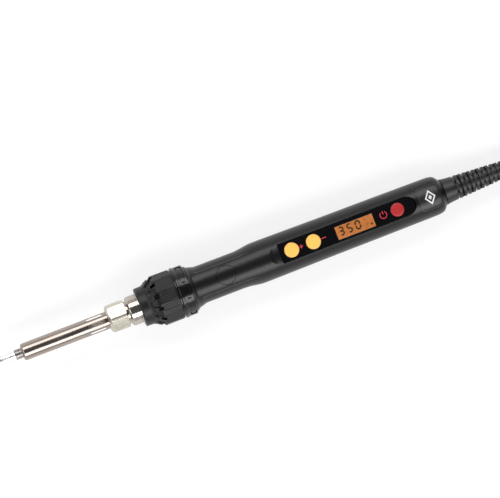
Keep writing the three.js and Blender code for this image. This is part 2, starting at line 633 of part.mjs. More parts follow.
// Leads from the heater to the board, round the front screw, and from the cord to the board.
const LEADS = {
  heater_lead_1: ["wire", 1, 1, 0.9],
  heater_lead_2: ["wire", -1, 1, 0.9],
  sensor_lead_1: ["wireBlue", 1, -1, -BOARD.thickness - 0.9],
  sensor_lead_2: ["wireBlue", -1, -1, -BOARD.thickness - 0.9],
};
for (const [name, [finish, ySide, zSide, landing]] of Object.entries(LEADS)) {
  const route = [
    [HEATER.back + GAP, 0.9 * ySide, 0.9 * zSide], [93, 2.4 * ySide, 1.4 * zSide],
    [101, 5.6 * ySide, 2.2 * zSide], [112, 6 * ySide, 2.4 * zSide], [122, 5.4 * ySide, 2 * zSide],
    [127.5, 5 * ySide, landing], [132.5, 5 * ySide, landing],
  ];
  iron.add(piece(name, tube(route, LEAD.radius, LEAD.sides, 14), finish));
}
for (const [name, finish, side] of [["live_lead", "wire", 1], ["neutral_lead", "wireBlue", -1]]) {
  const route = [
    [CORD.start - GAP, 1.3 * side, 0.9], [209.6, 2.6 * side, 1.2], [208.2, 4.6 * side, 1.1],
    [205.5, 5.6 * side, 0.95], [202.5, 5.6 * side, 0.95],
  ];
  iron.add(piece(name, tube(route, LEAD.radius, LEAD.sides, 8), finish));
}

const posture = new THREE.Group();
posture.rotation.y = TILT;
posture.position.z = LIFT;
posture.add(iron);

const solderingIron = new THREE.Group();
solderingIron.add(
  posture,
  piece("power_cord", tube(LEAD_ROUTE, CORD.radius, CORD.sides, 8), "rubber"),
  piece("cord_hank", cordHank(), "rubber"),
  piece("hank_tie", hankTie(), "rubber"),
  piece("cord_tail", tube(TAIL_ROUTE, CORD.radius, CORD.sides, 4), "rubber"),
  piece("plug_body", plugBody(), "rubber"),
  piece("plug_pin_1", plugPin(-1), "brass"),
  piece("plug_pin_2", plugPin(1), "brass"),
);

export default solderingIron;
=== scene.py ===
"""The looks of a pen-style thermostatic soldering iron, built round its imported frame.

Shapes are worked out in the iron's own frame in millimetres: x is the station along the axis from the
barrel's mouth towards the cord, z points out of the control panel. POSTURE turns and lowers them on to
the bench, in metres. The mains lead is laid out straight in the bench's frame.
"""

import math

import bpy
from bpy.props import FloatProperty, FloatVectorProperty, IntProperty, PointerProperty
from mathutils import Matrix, Vector


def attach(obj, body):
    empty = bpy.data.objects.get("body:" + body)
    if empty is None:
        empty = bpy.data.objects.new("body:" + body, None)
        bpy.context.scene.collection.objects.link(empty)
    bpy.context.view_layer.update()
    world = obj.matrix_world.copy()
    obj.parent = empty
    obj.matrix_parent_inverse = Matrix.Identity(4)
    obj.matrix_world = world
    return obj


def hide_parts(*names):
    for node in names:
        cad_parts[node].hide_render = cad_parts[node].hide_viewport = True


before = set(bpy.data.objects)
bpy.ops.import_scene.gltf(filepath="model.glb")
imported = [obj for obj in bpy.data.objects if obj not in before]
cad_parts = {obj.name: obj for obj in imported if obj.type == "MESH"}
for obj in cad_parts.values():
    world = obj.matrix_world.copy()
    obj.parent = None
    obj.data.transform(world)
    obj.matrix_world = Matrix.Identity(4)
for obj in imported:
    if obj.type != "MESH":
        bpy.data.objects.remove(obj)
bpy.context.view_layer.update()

bl_info = {
    "name": "Soldering Iron Looks",
    "version": (1, 0, 0),
    "blender": (4, 5, 0),
    "location": "3D View > Sidebar > Iron",
    "description": "Builds the visible pieces of a thermostatic soldering iron on its packed frame",
    "category": "Object",
}

MM = 0.001
MIDDLE = 128.0  # station over the frame's origin
RING_STEP, RING_RADIUS = 86.0, 13.45  # the front ring's lowest edge, on the bench
REAR_STATION, REAR_RADIUS = 223.5, 10.15  # where the handle's rear touches the bench
TILT = math.atan((RING_RADIUS - REAR_RADIUS) / (REAR_STATION - RING_STEP))
LIFT = (RING_STEP - MIDDLE) * math.sin(TILT) + RING_RADIUS * math.cos(TILT)
POSTURE = (
    Matrix.Translation((0, 0, LIFT * MM))
    @ Matrix.Rotation(TILT, 4, "Y")
    @ Matrix.Translation((-MIDDLE * MM, 0, 0))
    @ Matrix.Scale(MM, 4)
)
BENCH = Matrix.Scale(MM, 4)
CORD_RADIUS = 3.0
PANEL_TOP = 9.05
PANEL_FRONT, PANEL_BACK, PANEL_HALF = 139.8, 214.2, 5.1
PANEL_END = 6.1  # length of its rounded rear end
# Station, radius and colour of each button.
BUTTONS = {
    "plus": (146.1, 3.82, "yellow"), "minus": (158.0, 3.82, "yellow"), "power": (204.1, 3.5, "red"),
}


# ---- Colours and materials ----------------------------------------------------------------------

GRAIN_SPAN = (0.3, 0.7)  # the part of the noise's range that is spread over roughness and colours
METAL = {"Metallic": 1.0}
PLASTIC = {"IOR": 1.5}


def linear(code):
    """An sRGB hex colour as linear red, green, blue and alpha."""
    channels = [int(code[i : i + 2], 16) / 255 for i in (1, 3, 5)]
    return [c / 12.92 if c <= 0.04045 else ((c + 0.055) / 1.055) ** 2.4 for c in channels] + [1.0]


def add(tree, kind, inputs=None, **settings):
    """Adds a node with its settings; each input is set to a value or linked from a socket."""
    node = tree.nodes.new(kind)
    for name, value in settings.items():
        setattr(node, name, value)
    for name, value in (inputs or {}).items():
        if isinstance(value, bpy.types.NodeSocket):
            tree.links.new(value, node.inputs[name])
        else:
            node.inputs[name].default_value = value
    return node


def finish(name, shader, colours, grain_mm, bump, rough, stretch=(1, 1, 1)):
    """A surface with one noise that drives its bump, its roughness range and its change of colour.

    colours is one or two hex colours, grain_mm the size of the pattern, bump its height in
    millimetres, rough the lowest and highest roughness; stretch scales it along the frame's axes.
    """
    made = bpy.data.materials.new(name)
    made.use_nodes = True
    tree = made.node_tree
    tree.nodes.clear()
    inputs = dict(shader)
    place = add(tree, "ShaderNodeTexCoord")
    mapping = add(tree, "ShaderNodeMapping", {"Vector": place.outputs["Object"], "Scale": stretch})
    noise = add(
        tree, "ShaderNodeTexNoise",
        {"Vector": mapping.outputs["Vector"], "Scale": 1 / (grain_mm * MM), "Detail": 4.0},
    )
    grain = noise.outputs["Fac"]
    if bump:
        relief = add(tree, "ShaderNodeBump", {"Height": grain, "Strength": 1.0, "Distance": bump * MM})
        inputs["Normal"] = relief.outputs["Normal"]
    low, high = GRAIN_SPAN
    span = add(
        tree, "ShaderNodeMapRange",
        {"Value": grain, "From Min": low, "From Max": high, "To Min": rough[0], "To Max": rough[1]},
    )
    inputs["Roughness"] = span.outputs["Result"]
    if len(colours) == 2:
        ramp = add(tree, "ShaderNodeValToRGB", {"Fac": grain})
        for stop, at, code in zip(ramp.color_ramp.elements, GRAIN_SPAN, colours):
            stop.position = at
            stop.color = linear(code)
        inputs["Base Color"] = ramp.outputs["Color"]
    elif colours:
        inputs["Base Color"] = linear(colours[0])
    principled = add(tree, "ShaderNodeBsdfPrincipled", inputs)
    add(tree, "ShaderNodeOutputMaterial", {"Surface": principled.outputs["BSDF"]})
    return made


FINISHES = {}


def make_materials(looks):
    """Every finish of the iron, by its short name, made once."""
    if FINISHES:
        return FINISHES
    FINISHES.update({
        # Moulded ABS, spark-eroded tool: a fine even grain of about 0.1 mm breaks up the highlight.
        # It is drawn at 0.5 mm, as coarse as it needs to show.
        "handle": finish(
            "moulded_abs_satin",
            {**PLASTIC, "Base Color": [*looks.handle_colour, 1], "Specular IOR Level": 0.4},
            (), 0.5, 0.012, (0.26, 0.36),
        ),
        # Glass-filled nylon of the hot end: duller and a little greyer than the handle.
        "collar": finish(
            "glass_filled_nylon_matte", {**PLASTIC, "Specular IOR Level": 0.35},
            ("#0b0a0a", "#111010"), 0.6, 0.02, (0.34, 0.46),
        ),
        # Smooth moulded ABS of the ring: the highlight stays sharp.
        "gloss": finish("moulded_abs_gloss", PLASTIC, ["#080707"], 1.2, 0.004, (0.12, 0.2)),
        # Bead-blasted badge face: a soft even sheen inside its outline groove.
        "badge": finish("moulded_abs_blasted", PLASTIC, ["#161415"], 0.4, 0.015, (0.32, 0.42)),
        # Screen-printed acrylic overlay: black and mirror smooth, faintly dusty.
        "panel": finish(
            "acrylic_overlay_black", {**PLASTIC, "Specular IOR Level": 0.4}, ["#030304"],
            3.0, 0, (0.05, 0.12),
        ),
        # Polished stainless tube, drawn: hairlines run along it and heat has browned it slightly.
        "stainless": finish(
            "drawn_stainless_polished", METAL, ("#93877f", "#aea39b"),
            0.5, 0.003, (0.14, 0.24), (0.04, 1, 1),
        ),
        # Bright nickel over milled flats: nearly white, with a slight haze.
        "nickel": finish(
            "nickel_plated_steel", METAL, ("#bfbaab", "#d2cdc0"), 0.9, 0.004, (0.26, 0.36)
        ),
        # Turned and chromed brass: a clean mirror with fine turning rings.
        "chrome": finish(
            "turned_chrome", METAL, ("#a9a097", "#bfb8af"), 0.35, 0.001, (0.1, 0.16), (1, 0.05, 0.05)
        ),
        # Chrome-plated copper shank of the tip, dulled by heat.
        "plating": finish(
            "chrome_plated_copper_heated", METAL, ("#6f6a68", "#a5a19e"), 1.1, 0.006, (0.24, 0.42)
        ),
        # Tinned working end: molten solder has frozen in soft bright ripples.
        "tinned": finish("tinned_solder", METAL, ("#e8eaea", "#fbfbfb"), 1.8, 0.03, (0.28, 0.42)),
        # Silicone rubber keys: dense warm colour with a velvety surface.
        "yellow": finish(
            "silicone_key_yellow", {**PLASTIC, "Sheen Weight": 0.2},
            ("#e1aa46", "#ebb75a"), 0.5, 0.01, (0.42, 0.56),
        ),
        "red": finish(
            "silicone_key_red", {**PLASTIC, "Sheen Weight": 0.1},
            ("#931318", "#a4191e"), 0.5, 0.01, (0.38, 0.5),
        ),
        # Screen-printing ink, slightly proud of the overlay: flat red without any shine of its own.
        "ink": finish("screen_ink_red", PLASTIC, ["#b52036"], 0.4, 0.002, (0.45, 0.55)),
        # Liquid-crystal cell, lit from behind: an even amber that glows a little, under smooth glass.
        "amber": finish(
            "lcd_cell_amber",
            {
                **PLASTIC, "Coat Weight": 1.0, "Coat Roughness": 0.04,
                "Emission Color": linear("#d08233"), "Emission Strength": 0.16,
            },
            ("#925022", "#a2602c"), 2.5, 0, (0.25, 0.35),
        ),
        # Switched liquid crystal: a greenish black that lies flat in the cell.
        "segment": finish("lcd_segment_dark", PLASTIC, ["#1b2418"], 0.8, 0, (0.2, 0.3)),
        # Flexible PVC, moulded round the cord: soft wide highlights and a faint orange peel.
        "boot": finish("moulded_pvc_flexible", PLASTIC, ["#141212"], 0.8, 0.01, (0.34, 0.46)),
        # PVC drawn over the wires: a little duller than the moulded boot.
        "cord": finish("extruded_pvc_jacket", PLASTIC, ["#151414"], 1.0, 0.012, (0.4, 0.54)),
        # Harder PVC of the plug, from a fine-grained mould: an even low sheen.
        "plug": finish("moulded_pvc_plug", PLASTIC, ["#161415"], 0.6, 0.015, (0.36, 0.5)),
        # Woven nylon hook-and-loop strap: threads of 0.4 mm, drawn at 0.7 mm, with a soft sheen.
        "strap": finish(
            "woven_nylon_strap", {**PLASTIC, "Sheen Weight": 0.5},
            ("#1a1a1c", "#38383b"), 0.7, 0.12, (0.75, 0.95),
        ),
        # Turned brass pins under thin nickel: warm, bright and slightly scuffed.
        "pin": finish("nickel_plated_brass", METAL, ["#cfc9b8"], 0.6, 0.002, (0.14, 0.28)),
        # Zinc-plated screws and lock ring: a cool grey with cloudy patches.
        "steel": finish(
            "zinc_plated_steel", METAL, ("#94969a", "#b1b3b6"), 0.7, 0.004, (0.28, 0.42)
        ),
        # Fired alumina: chalky off-white, with no highlight to speak of.
        "ceramic": finish("fired_alumina", PLASTIC, ("#dcd6ca", "#ebe7df"), 0.5, 0.01, (0.55, 0.7)),
        # Solder mask over copper: green, with faintly darker and lighter fields.
        "board": finish(
            "solder_mask_green", PLASTIC, ("#184f2e", "#226840"), 1.5, 0.006, (0.28, 0.42)
        ),
        # Moulded epoxy of chips and switches: matte charcoal.
        "chip": finish("moulded_epoxy_black", PLASTIC, ["#18191b"], 0.4, 0.01, (0.45, 0.6)),
        # Dipped lacquer of capacitor and resistor: ochre with a soft uneven gloss.
        "component": finish(
            "lacquered_component", PLASTIC, ("#9c6c22", "#b98738"), 0.9, 0.008, (0.34, 0.48)
        ),
        # Frosted acrylic: cream, and it scatters light evenly.
        "guide": finish("frosted_light_guide", PLASTIC, ["#e8dcc0"], 0.8, 0.005, (0.45, 0.6)),
        # Extruded silicone of the inner wires: dense colour and a waxy surface.
        "red_wire": finish("silicone_wire_red", PLASTIC, ["#b02a24"], 0.6, 0.004, (0.45, 0.55)),
        "blue_wire": finish("silicone_wire_blue", PLASTIC, ["#2a5ca4"], 0.6, 0.004, (0.45, 0.55)),
        # Pad-printed silver ink of the badge's mark: a light matte line.
        "mark": finish("pad_print_silver", PLASTIC, ["#c9cacc"], 0.4, 0.002, (0.4, 0.5)),
    })
    return FINISHES


# ---- Shapes -------------------------------------------------------------------------------------


def smooth_step(low, high, value):
    """Rises from 0 at low to 1 at high, level at both ends."""
    t = min(1.0, max(0.0, (value - low) / (high - low)))
    return t * t * (3 - 2 * t)


def mesh_of(name, points, faces, place=POSTURE):
    """A mesh object from points in millimetres, faces out."""
    data = bpy.data.meshes.new(name)
    data.from_pydata([place @ Vector(p) for p in points], [], faces)
    data.validate()
    made = bpy.data.objects.new(name, data)
    bpy.context.scene.collection.objects.link(made)
    bpy.context.view_layer.objects.active = made
    bpy.ops.object.mode_set(mode="EDIT")
    bpy.ops.mesh.select_all(action="SELECT")
    bpy.ops.mesh.normals_make_consistent(inside=False)
    bpy.ops.object.mode_set(mode="OBJECT")
    return made


def spin(name, profile, sides, shape=None, place=POSTURE, aside=(0, 0)):
    """Turns [station, radius] points about the axis; shape(x, angle, r) may change the radius.

    The angle counts from +z towards +y. The profile starts and ends on the axis, or closes on itself.
    """
    closes = tuple(profile[0]) == tuple(profile[-1])
    rows = profile[:-1] if closes else profile
    points, index = [], []
    for x, r in rows:
        if r == 0:
            index.append([len(points)] * sides)
            points.append((x, *aside))
            continue
        index.append(list(range(len(points), len(points) + sides)))
        for i in range(sides):
            angle = 2 * math.pi * i / sides
            radius = shape(x, angle, r) if shape else r
            points.append((x, aside[0] + radius * math.sin(angle), aside[1] + radius * math.cos(angle)))
    faces = []
    for a, b in zip(index, index[1:] + ([index[0]] if closes else [])):
        for i in range(sides):
            j = (i + 1) % sides
            corners = list(dict.fromkeys((a[i], a[j], b[j], b[i])))
            if len(corners) > 2:
                faces.append(corners)
    return mesh_of(name, points, faces, place)


def fine(profile, step):
    """The same profile with points added so that none is further apart than step."""
    out = [profile[0]]
    for (x0, r0), (x1, r1) in zip(profile, profile[1:]):
        count = max(1, math.ceil(math.hypot(x1 - x0, r1 - r0) / step))
        out += [(x0 + (x1 - x0) * k / count, r0 + (r1 - r0) * k / count) for k in range(1, count + 1)]
    return out


def prism(name, outline, low, high, place=POSTURE, lay=lambda a, b, c: (a, b, c)):
    """An outline in two axes, raised along the third; lay puts the three numbers in x, y, z order."""
    count = len(outline)
    points = [lay(a, b, c) for c in (low, high) for a, b in outline]
    faces = [[i, (i + 1) % count, (i + 1) % count + count, i + count] for i in range(count)]
    faces += [list(range(count))[::-1], list(range(count, 2 * count))]
    return mesh_of(name, points, faces, place)


def arc(cx, cy, radius, start, end, steps, squash=1.0):
    """Points of an arc in degrees; squash scales it along the first axis."""
    angles = (math.radians(start + (end - start) * k / steps) for k in range(steps + 1))
    return [(cx + squash * radius * math.cos(a), cy + radius * math.sin(a)) for a in angles]


def rounded(x0, x1, y0, y1, radius, steps):
    """A rectangle with round corners."""
    return (
        arc(x1 - radius, y1 - radius, radius, 0, 90, steps)
        + arc(x0 + radius, y1 - radius, radius, 90, 180, steps)
        + arc(x0 + radius, y0 + radius, radius, 180, 270, steps)
        + arc(x1 - radius, y0 + radius, radius, 270, 360, steps)
    )


def modify(made, kind, **settings):
    """Adds a modifier and applies it."""
    modifier = made.modifiers.new(kind.lower(), kind)
    for name, value in settings.items():
        setattr(modifier, name, value)
    bpy.context.view_layer.objects.active = made
    bpy.ops.object.modifier_apply(modifier=modifier.name)


def carve(made, *tools, operation="DIFFERENCE"):
    """Cuts tools out of a piece, or keeps what they share, and removes them."""
    for tool in tools:
        modify(made, "BOOLEAN", object=tool, operation=operation, solver="EXACT")
        bpy.data.objects.remove(tool)
    return made


def dress(made, material, body, replaced=(), soften=0.0, angle=32):
    """Softens a piece's edges, smooths it, gives it its finish and puts it on its body."""
    if soften:
        modify(
            made, "BEVEL", width=soften * MM, segments=2, limit_method="ANGLE",
            angle_limit=math.radians(angle), harden_normals=False,
        )
    made.data.polygons.foreach_set("use_smooth", [True] * len(made.data.polygons))
    made.data.set_sharp_from_angle(angle=math.radians(angle))
    made.data.materials.clear()
    made.data.materials.append(material)
    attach(made, body)
    if replaced:
        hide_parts(*replaced)
    return made


def unite(made, *others):
    """Joins closed pieces into one."""
    for other in others:
        modify(made, "BOOLEAN", object=other, operation="UNION", solver="EXACT")
        bpy.data.objects.remove(other)
    return made


def repaint(name, *nodes):
    """Gives CAD nodes whose shape is right their finish."""
    finishes = make_materials(bpy.context.scene.iron_looks)
    for node in nodes:
        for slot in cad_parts[node].material_slots:
            slot.material = finishes[name]


# ---- Sizes and colours that a user may change ---------------------------------------------------


class LeadSizes(bpy.types.PropertyGroup):
    """The mains lead."""

    diameter: FloatProperty(
        name="Diameter", description="Outside of the lead's jacket", default=2 * CORD_RADIUS * MM,
        unit="LENGTH",
    )
    tie_ribs: IntProperty(
        name="Tie ribs", description="Woven ribs across the strap that holds the hank", default=14, min=4
    )


class GripSizes(bpy.types.PropertyGroup):
    """The strain relief's rings and the barrel's slots."""

    ring_pitch: FloatProperty(
        name="Ring pitch", description="Distance between the boot's rings", default=0.00245, unit="LENGTH"
    )
    ring_gap: FloatProperty(
        name="Ring gap", description="Width of the gap between two rings", default=0.0009, unit="LENGTH"
    )
    slots: IntProperty(name="Slots", description="Slots round the barrel", default=6, min=1)


class Looks(bpy.types.PropertyGroup):
    """Colours and light."""

    handle_colour: FloatVectorProperty(
        name="Handle colour", description="Base colour of the handle's plastic, linear",
        subtype="COLOR", default=linear("#0a0909")[:3], min=0, max=1,
    )
    near_strip: FloatProperty(
        name="Near strip power", description="Power of the long strip on the -y side", default=8.4,
        unit="POWER", min=0,
    )
    far_strip: FloatProperty(
        name="Far strip power", description="Power of the long strip on the +y side", default=6.4,
        unit="POWER", min=0,
    )
    boxes: FloatProperty(
        name="Box power", description="Power of each broad low light", default=1.2, unit="POWER", min=0
    )
    fill: FloatProperty(
        name="Fill power", description="Power of the lamp ahead of the tip", default=1.6, unit="POWER", min=0
    )


GROUPS = (("iron_lead", LeadSizes), ("iron_grip", GripSizes), ("iron_looks", Looks))


# ---- The stage ----------------------------------------------------------------------------------

FLOOR_SIZE = 6.0
LAMP_DISTANCE = 0.75  # of the strips and boxes; all lamp measures are in metres
LAMP_SIZE, FILL_SIZE = (1.6, 0.4), (0.5, 0.5)


class IRON_OT_stage(bpy.types.Operator):
    """Sets the camera, the pale floor and the lamps"""

    bl_idname = "iron.stage"
    bl_label = "Stage"

    def execute(self, context):
        scene = context.scene
        looks = scene.iron_looks
        lean = math.radians(4.4)  # the camera stands a little towards the tip
        turn = math.radians(20.85)  # the iron rises to the right, its tip at the lower left
        away = Vector((-math.sin(lean), 0, math.cos(lean)))
        along = Vector((math.cos(lean), 0, math.sin(lean)))
        across = Vector((0, 1, 0))
        right = math.cos(turn) * along - math.sin(turn) * across
        up = math.sin(turn) * along + math.cos(turn) * across
        target = POSTURE @ Vector((127.3, 8.0, 0))
        distance, width, sensor = 2.0, 0.255, 36.0  # metres, metres across the view, millimetres

        lens = bpy.data.cameras.new("camera")
        lens.sensor_width = sensor
        lens.lens = sensor * distance / width
        lens.clip_end = 20.0
        camera = bpy.data.objects.new("camera", lens)
        scene.collection.objects.link(camera)
        turned = Matrix((right, up, away)).transposed().to_4x4()
        camera.matrix_world = Matrix.Translation(target + distance * away) @ turned
        scene.camera = camera

        bpy.ops.mesh.primitive_plane_add(size=FLOOR_SIZE)
        floor = context.object
        floor.name = "floor"
        paper = finish(
            "backlit_acrylic_white",
            {**PLASTIC, "Emission Color": linear("#ffffff"), "Emission Strength": 0.68},
            ["#8e8e8e"], 40.0, 0, (0.65, 0.75),
        )
        floor.data.materials.append(paper)

        for name, side, strip in (("far", 1, looks.far_strip), ("near", -1, looks.near_strip)):
            for kind, from_zenith, power in (("strip", 43, strip), ("box", 76, looks.boxes)):
                out = math.radians(from_zenith)
                place = Vector((0, side * math.sin(out), math.cos(out))) * LAMP_DISTANCE
                self.lamp(scene, f"{kind}_{name}", place, LAMP_SIZE, power)
        ahead = math.radians(50)
        place = Vector((-math.sin(ahead), 0, math.cos(ahead)))
        self.lamp(scene, "fill", place, FILL_SIZE, looks.fill)
        scene.view_settings.view_transform = "Standard"
        world = bpy.data.worlds.new("room")
        world.use_nodes = True
        world.node_tree.nodes["Background"].inputs["Color"].default_value = linear("#e9edf2")
        world.node_tree.nodes["Background"].inputs["Strength"].default_value = 0.16
        scene.world = world
        return {"FINISHED"}

    def lamp(self, scene, name, place, size, power):
        """A rectangular lamp that faces the iron."""
        light = bpy.data.lights.new(name, "AREA")
        light.shape = "RECTANGLE"
        light.size, light.size_y = size
        light.energy = power
        made = bpy.data.objects.new(name, light)
        made.location = place
        made.rotation_euler = (-place).to_track_quat("-Z", "Y").to_euler()
        scene.collection.objects.link(made)


# ---- The mains lead -----------------------------------------------------------------------------

BOOT_END, GAP = 276.0, 0.3  # the strain relief's end, and the play between cord and its neighbours
LAYERS = (3.1, 9.2, 15.3)  # heights of the hank's three layers
NEAR_X, FAR_X = 208.0, 258.0  # centres of the hank's round ends
OUTER, INNER = 23.1, 17.0  # radii of the turns
PINCH, RISE = 6.5, 1.5  # how far the tie pulls each run in, and lifts it off the bench
# Radius and layer of each turn, in the order in which the cord is wound.
ROUNDS = ((OUTER, 0), (INNER, 0), (INNER, 1), (INNER, 2), (OUTER, 2), (OUTER, 1), (OUTER, 0))
TIE_HALF, TIE_THICKNESS = 5.0, 1.2
PLUG_AT = (8.0, 7.1)  # y and z of the plug's axis
PLUG_BACK, PLUG_FACE, PLUG_END = 292.0, 335.0, 354.0


def run(side, start, end):
    """A straight run of the hank between its round ends, drawn in and lifted by the tie."""
    points = []
    steps = 7
    for k in range(1, steps):
        t = k / steps if side > 0 else 1 - k / steps
        change = smooth_step(0.1, 0.9, k / steps)
        radius = start[0] + (end[0] - start[0]) * change
        height = LAYERS[start[1]] + (LAYERS[end[1]] - LAYERS[start[1]]) * change
        drawn = math.sin(math.pi * t) ** 2
        x = NEAR_X + (FAR_X - NEAR_X) * t
        points.append((x, side * (radius - PINCH * drawn), height + RISE * drawn))
    return points


def fold(centre, turn, first, last):
    """A half turn at one of the hank's ends, in eight steps."""
    radius, layer = turn
    return [(x, y, LAYERS[layer]) for x, y in arc(centre, 0, radius, first, last, 8)]


def lead_route():
    """The free stretch from the strain relief, the hank's turns, and the tail to the plug."""
    reach = BOOT_END + GAP - MIDDLE
    exit_x, exit_z = reach * math.cos(TILT), LIFT - reach * math.sin(TILT)
    route = [
        (exit_x, 0, exit_z), (exit_x + 5, 0, exit_z - 0.2), (157, 0, 8.1), (163, 0.3, 6.8),
        (169, 1.9, 5.1), (174.2, 4.6, 3.8), (178.6, 7.9, 3.2),
        (184.3, 13, LAYERS[0]), (189.6, 17.4, LAYERS[0]), (195.3, 20.9, LAYERS[0]),
        (201.5, 22.7, LAYERS[0]), (NEAR_X, OUTER, LAYERS[0]),
    ]
    for start, end in zip(ROUNDS, ROUNDS[1:]):
        route += run(1, start, end)
        if end is not ROUNDS[-1]:
            route += fold(FAR_X, end, 90, -90) + run(-1, end, end) + fold(NEAR_X, end, -90, -270)
    route += [
        (FAR_X, OUTER, LAYERS[0]), (264.8, 22.1, 3.2), (271.2, 19.3, 3.6), (276.6, 15.9, 4.1),
        (281.3, 12.7, 4.9), (285.1, 10.2, 5.6), (286.8, 9.1, 6.2), (288.8, 8.3, 6.8),
        (290.4, *PLUG_AT), (PLUG_BACK - GAP, *PLUG_AT),
    ]
    return route


class IRON_OT_lead(bpy.types.Operator):
    """Lays out the mains lead with its hank, strap and plug"""

    bl_idname = "iron.lead"
    bl_label = "Mains lead"

    def execute(self, context):
        finishes = make_materials(context.scene.iron_looks)
        lead = context.scene.iron_lead
        curve = bpy.data.curves.new("mains_lead", "CURVE")
        curve.dimensions = "3D"
        curve.bevel_depth, curve.bevel_resolution = lead.diameter / 2, 6
        curve.resolution_u = 6
        route = [Vector(point) * MM for point in lead_route()]
        spline = curve.splines.new("BEZIER")
        spline.bezier_points.add(len(route) - 1)
        for i, (knot, point) in enumerate(zip(spline.bezier_points, route)):
            before, after = route[max(i - 1, 0)], route[min(i + 1, len(route) - 1)]
            heading = (after - before).normalized()
            knot.co = point
            knot.handle_left = point - heading * (point - before).length / 3
            knot.handle_right = point + heading * (after - point).length / 3
        curve.use_fill_caps = True
        cord = bpy.data.objects.new("mains_lead", curve)
        context.scene.collection.objects.link(cord)
        curve.materials.append(finishes["cord"])
        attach(cord, "handle")
        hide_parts("power_cord", "cord_hank", "cord_tail")
        on_it = [self.strap(finishes["strap"], lead), self.plug(finishes["plug"])]
        on_it += [self.pin(finishes["pin"], side) for side in (1, -1)]
        return {"FINISHED"}

    def strap(self, material, lead):
        """A woven strap round the hank's waist, ribbed across its width."""
        middle = (NEAR_X + FAR_X) / 2
        inside = OUTER - PINCH + CORD_RADIUS + 0.5  # half a millimetre of play on each side
        low, high = 0.1, LAYERS[2] + CORD_RADIUS + RISE + 0.4 + TIE_THICKNESS
        outer = rounded(-inside - TIE_THICKNESS, inside + TIE_THICKNESS, low, high, 4.2, 8)
        inner = rounded(-inside, inside, low + TIE_THICKNESS, high - TIE_THICKNESS, 3.2, 8)
        ribs, rib_depth = lead.tie_ribs, 0.12
        centre = (low + high) / 2
        points, faces, rings = [], [], []
        count = len(outer)
        for side in (outer, inner):
            for k in range(ribs + 1):
                x = middle - TIE_HALF + 2 * TIE_HALF * k / ribs
                inset = rib_depth * (k % 2) if side is outer else 0
                rings.append(len(points))
                for y, z in side:
                    points.append((x, y - math.copysign(inset, y), z - math.copysign(inset, z - centre)))
        order = list(range(ribs + 1)) + list(range(2 * ribs + 1, ribs, -1))
        for a, b in zip(order, order[1:] + order[:1]):
            for i in range(count):
                j = (i + 1) % count
                faces.append([rings[a] + i, rings[a] + j, rings[b] + j, rings[b] + i])
        strap = mesh_of("hank_strap", points, faces, BENCH)
        return dress(strap, material, "handle", ["hank_tie"])

    def plug(self, material):
        """A slim two-pole plug: a waisted grip with grooves at its sides, behind a flat face."""
        # Each row: station, half the width, half the height.
        stations = ((PLUG_BACK, 4.6, 4.3), (294, 5.2, 4.7), (303, 6.2, 5.2), (310, 9.0, 6.0))
        stations += ((316, 13.6, 6.7), (321, 16.2, 6.8), (326, 17.2, 6.8), (333.6, 17.6, 6.8))
        stations += ((PLUG_FACE, 16.9, 6.1),)
        flatness = 0.55  # below 1, the section fills out towards a rectangle
        points, faces, sides = [], [], 48
        for x, half_width, half_height in stations:
            for i in range(sides):
                a = 2 * math.pi * i / sides
                y = half_width * math.copysign(abs(math.cos(a)) ** flatness, math.cos(a))
                z = half_height * math.copysign(abs(math.sin(a)) ** flatness, math.sin(a))
                points.append((x, PLUG_AT[0] + y, PLUG_AT[1] + z))
        for row in range(len(stations) - 1):
            for i in range(sides):
                j, low = (i + 1) % sides, row * sides
                faces.append([low + i, low + j, low + sides + j, low + sides + i])
        faces += [list(range(sides))[::-1], list(range(len(points) - sides, len(points)))]
        body = mesh_of("plug_body_moulded", points, faces, BENCH)
        first, pitch, width, from_axis, depth = 318, 2.6, 1.1, 18.2, 1.6
        grooves = []
        for side in (1, -1):
            for k in range(5):
                x, y = first + pitch * k, PLUG_AT[0] + side * from_axis
                outline = rounded(x, x + width, y - depth, y + depth, 0.5, 3)
                grooves.append(prism("groove", outline, 1.5, 13, BENCH))
        carve(body, *grooves)
        return dress(body, material, "handle", ["plug_body"], 0.25)

    def pin(self, material, side):
        """One round pin with a blunt end."""
        radius, spacing = 1.9, 9.3
        number = 1 if side > 0 else 2
        profile = [(PLUG_FACE - 1, 0), (PLUG_FACE - 1, radius), (PLUG_END - 1.6, radius)]
        profile += [(PLUG_END - 0.8, radius - 0.2), (PLUG_END - 0.2, 1.0), (PLUG_END, 0)]
        aside = (PLUG_AT[0] + side * spacing, PLUG_AT[1])
        made = spin(f"plug_pin_turned_{number}", profile, 32, place=BENCH, aside=aside)
        return dress(made, material, "handle", [f"plug_pin_{number}"])


# ---- Tip, barrel, nut and bush ------------------------------------------------------------------


def degrees_apart(angle, centre, every):
    """How far an angle is from the nearest of a row of directions, all in degrees."""
    return abs((math.degrees(angle) - centre + every / 2) % every - every / 2)


def slab(name, x0, x1, y0, y1, z0, z1):
    """A plain block, for cutting."""
    return prism(name, [(x0, y0), (x1, y0), (x1, y1), (x0, y1)], z0, z1)


def radial(made, degrees):
    """Turns a cutting tool about the iron's axis; positive angles go from +z to +y."""
    made.data.transform(POSTURE @ Matrix.Rotation(math.radians(-degrees), 4, "X") @ POSTURE.inverted())
    return made


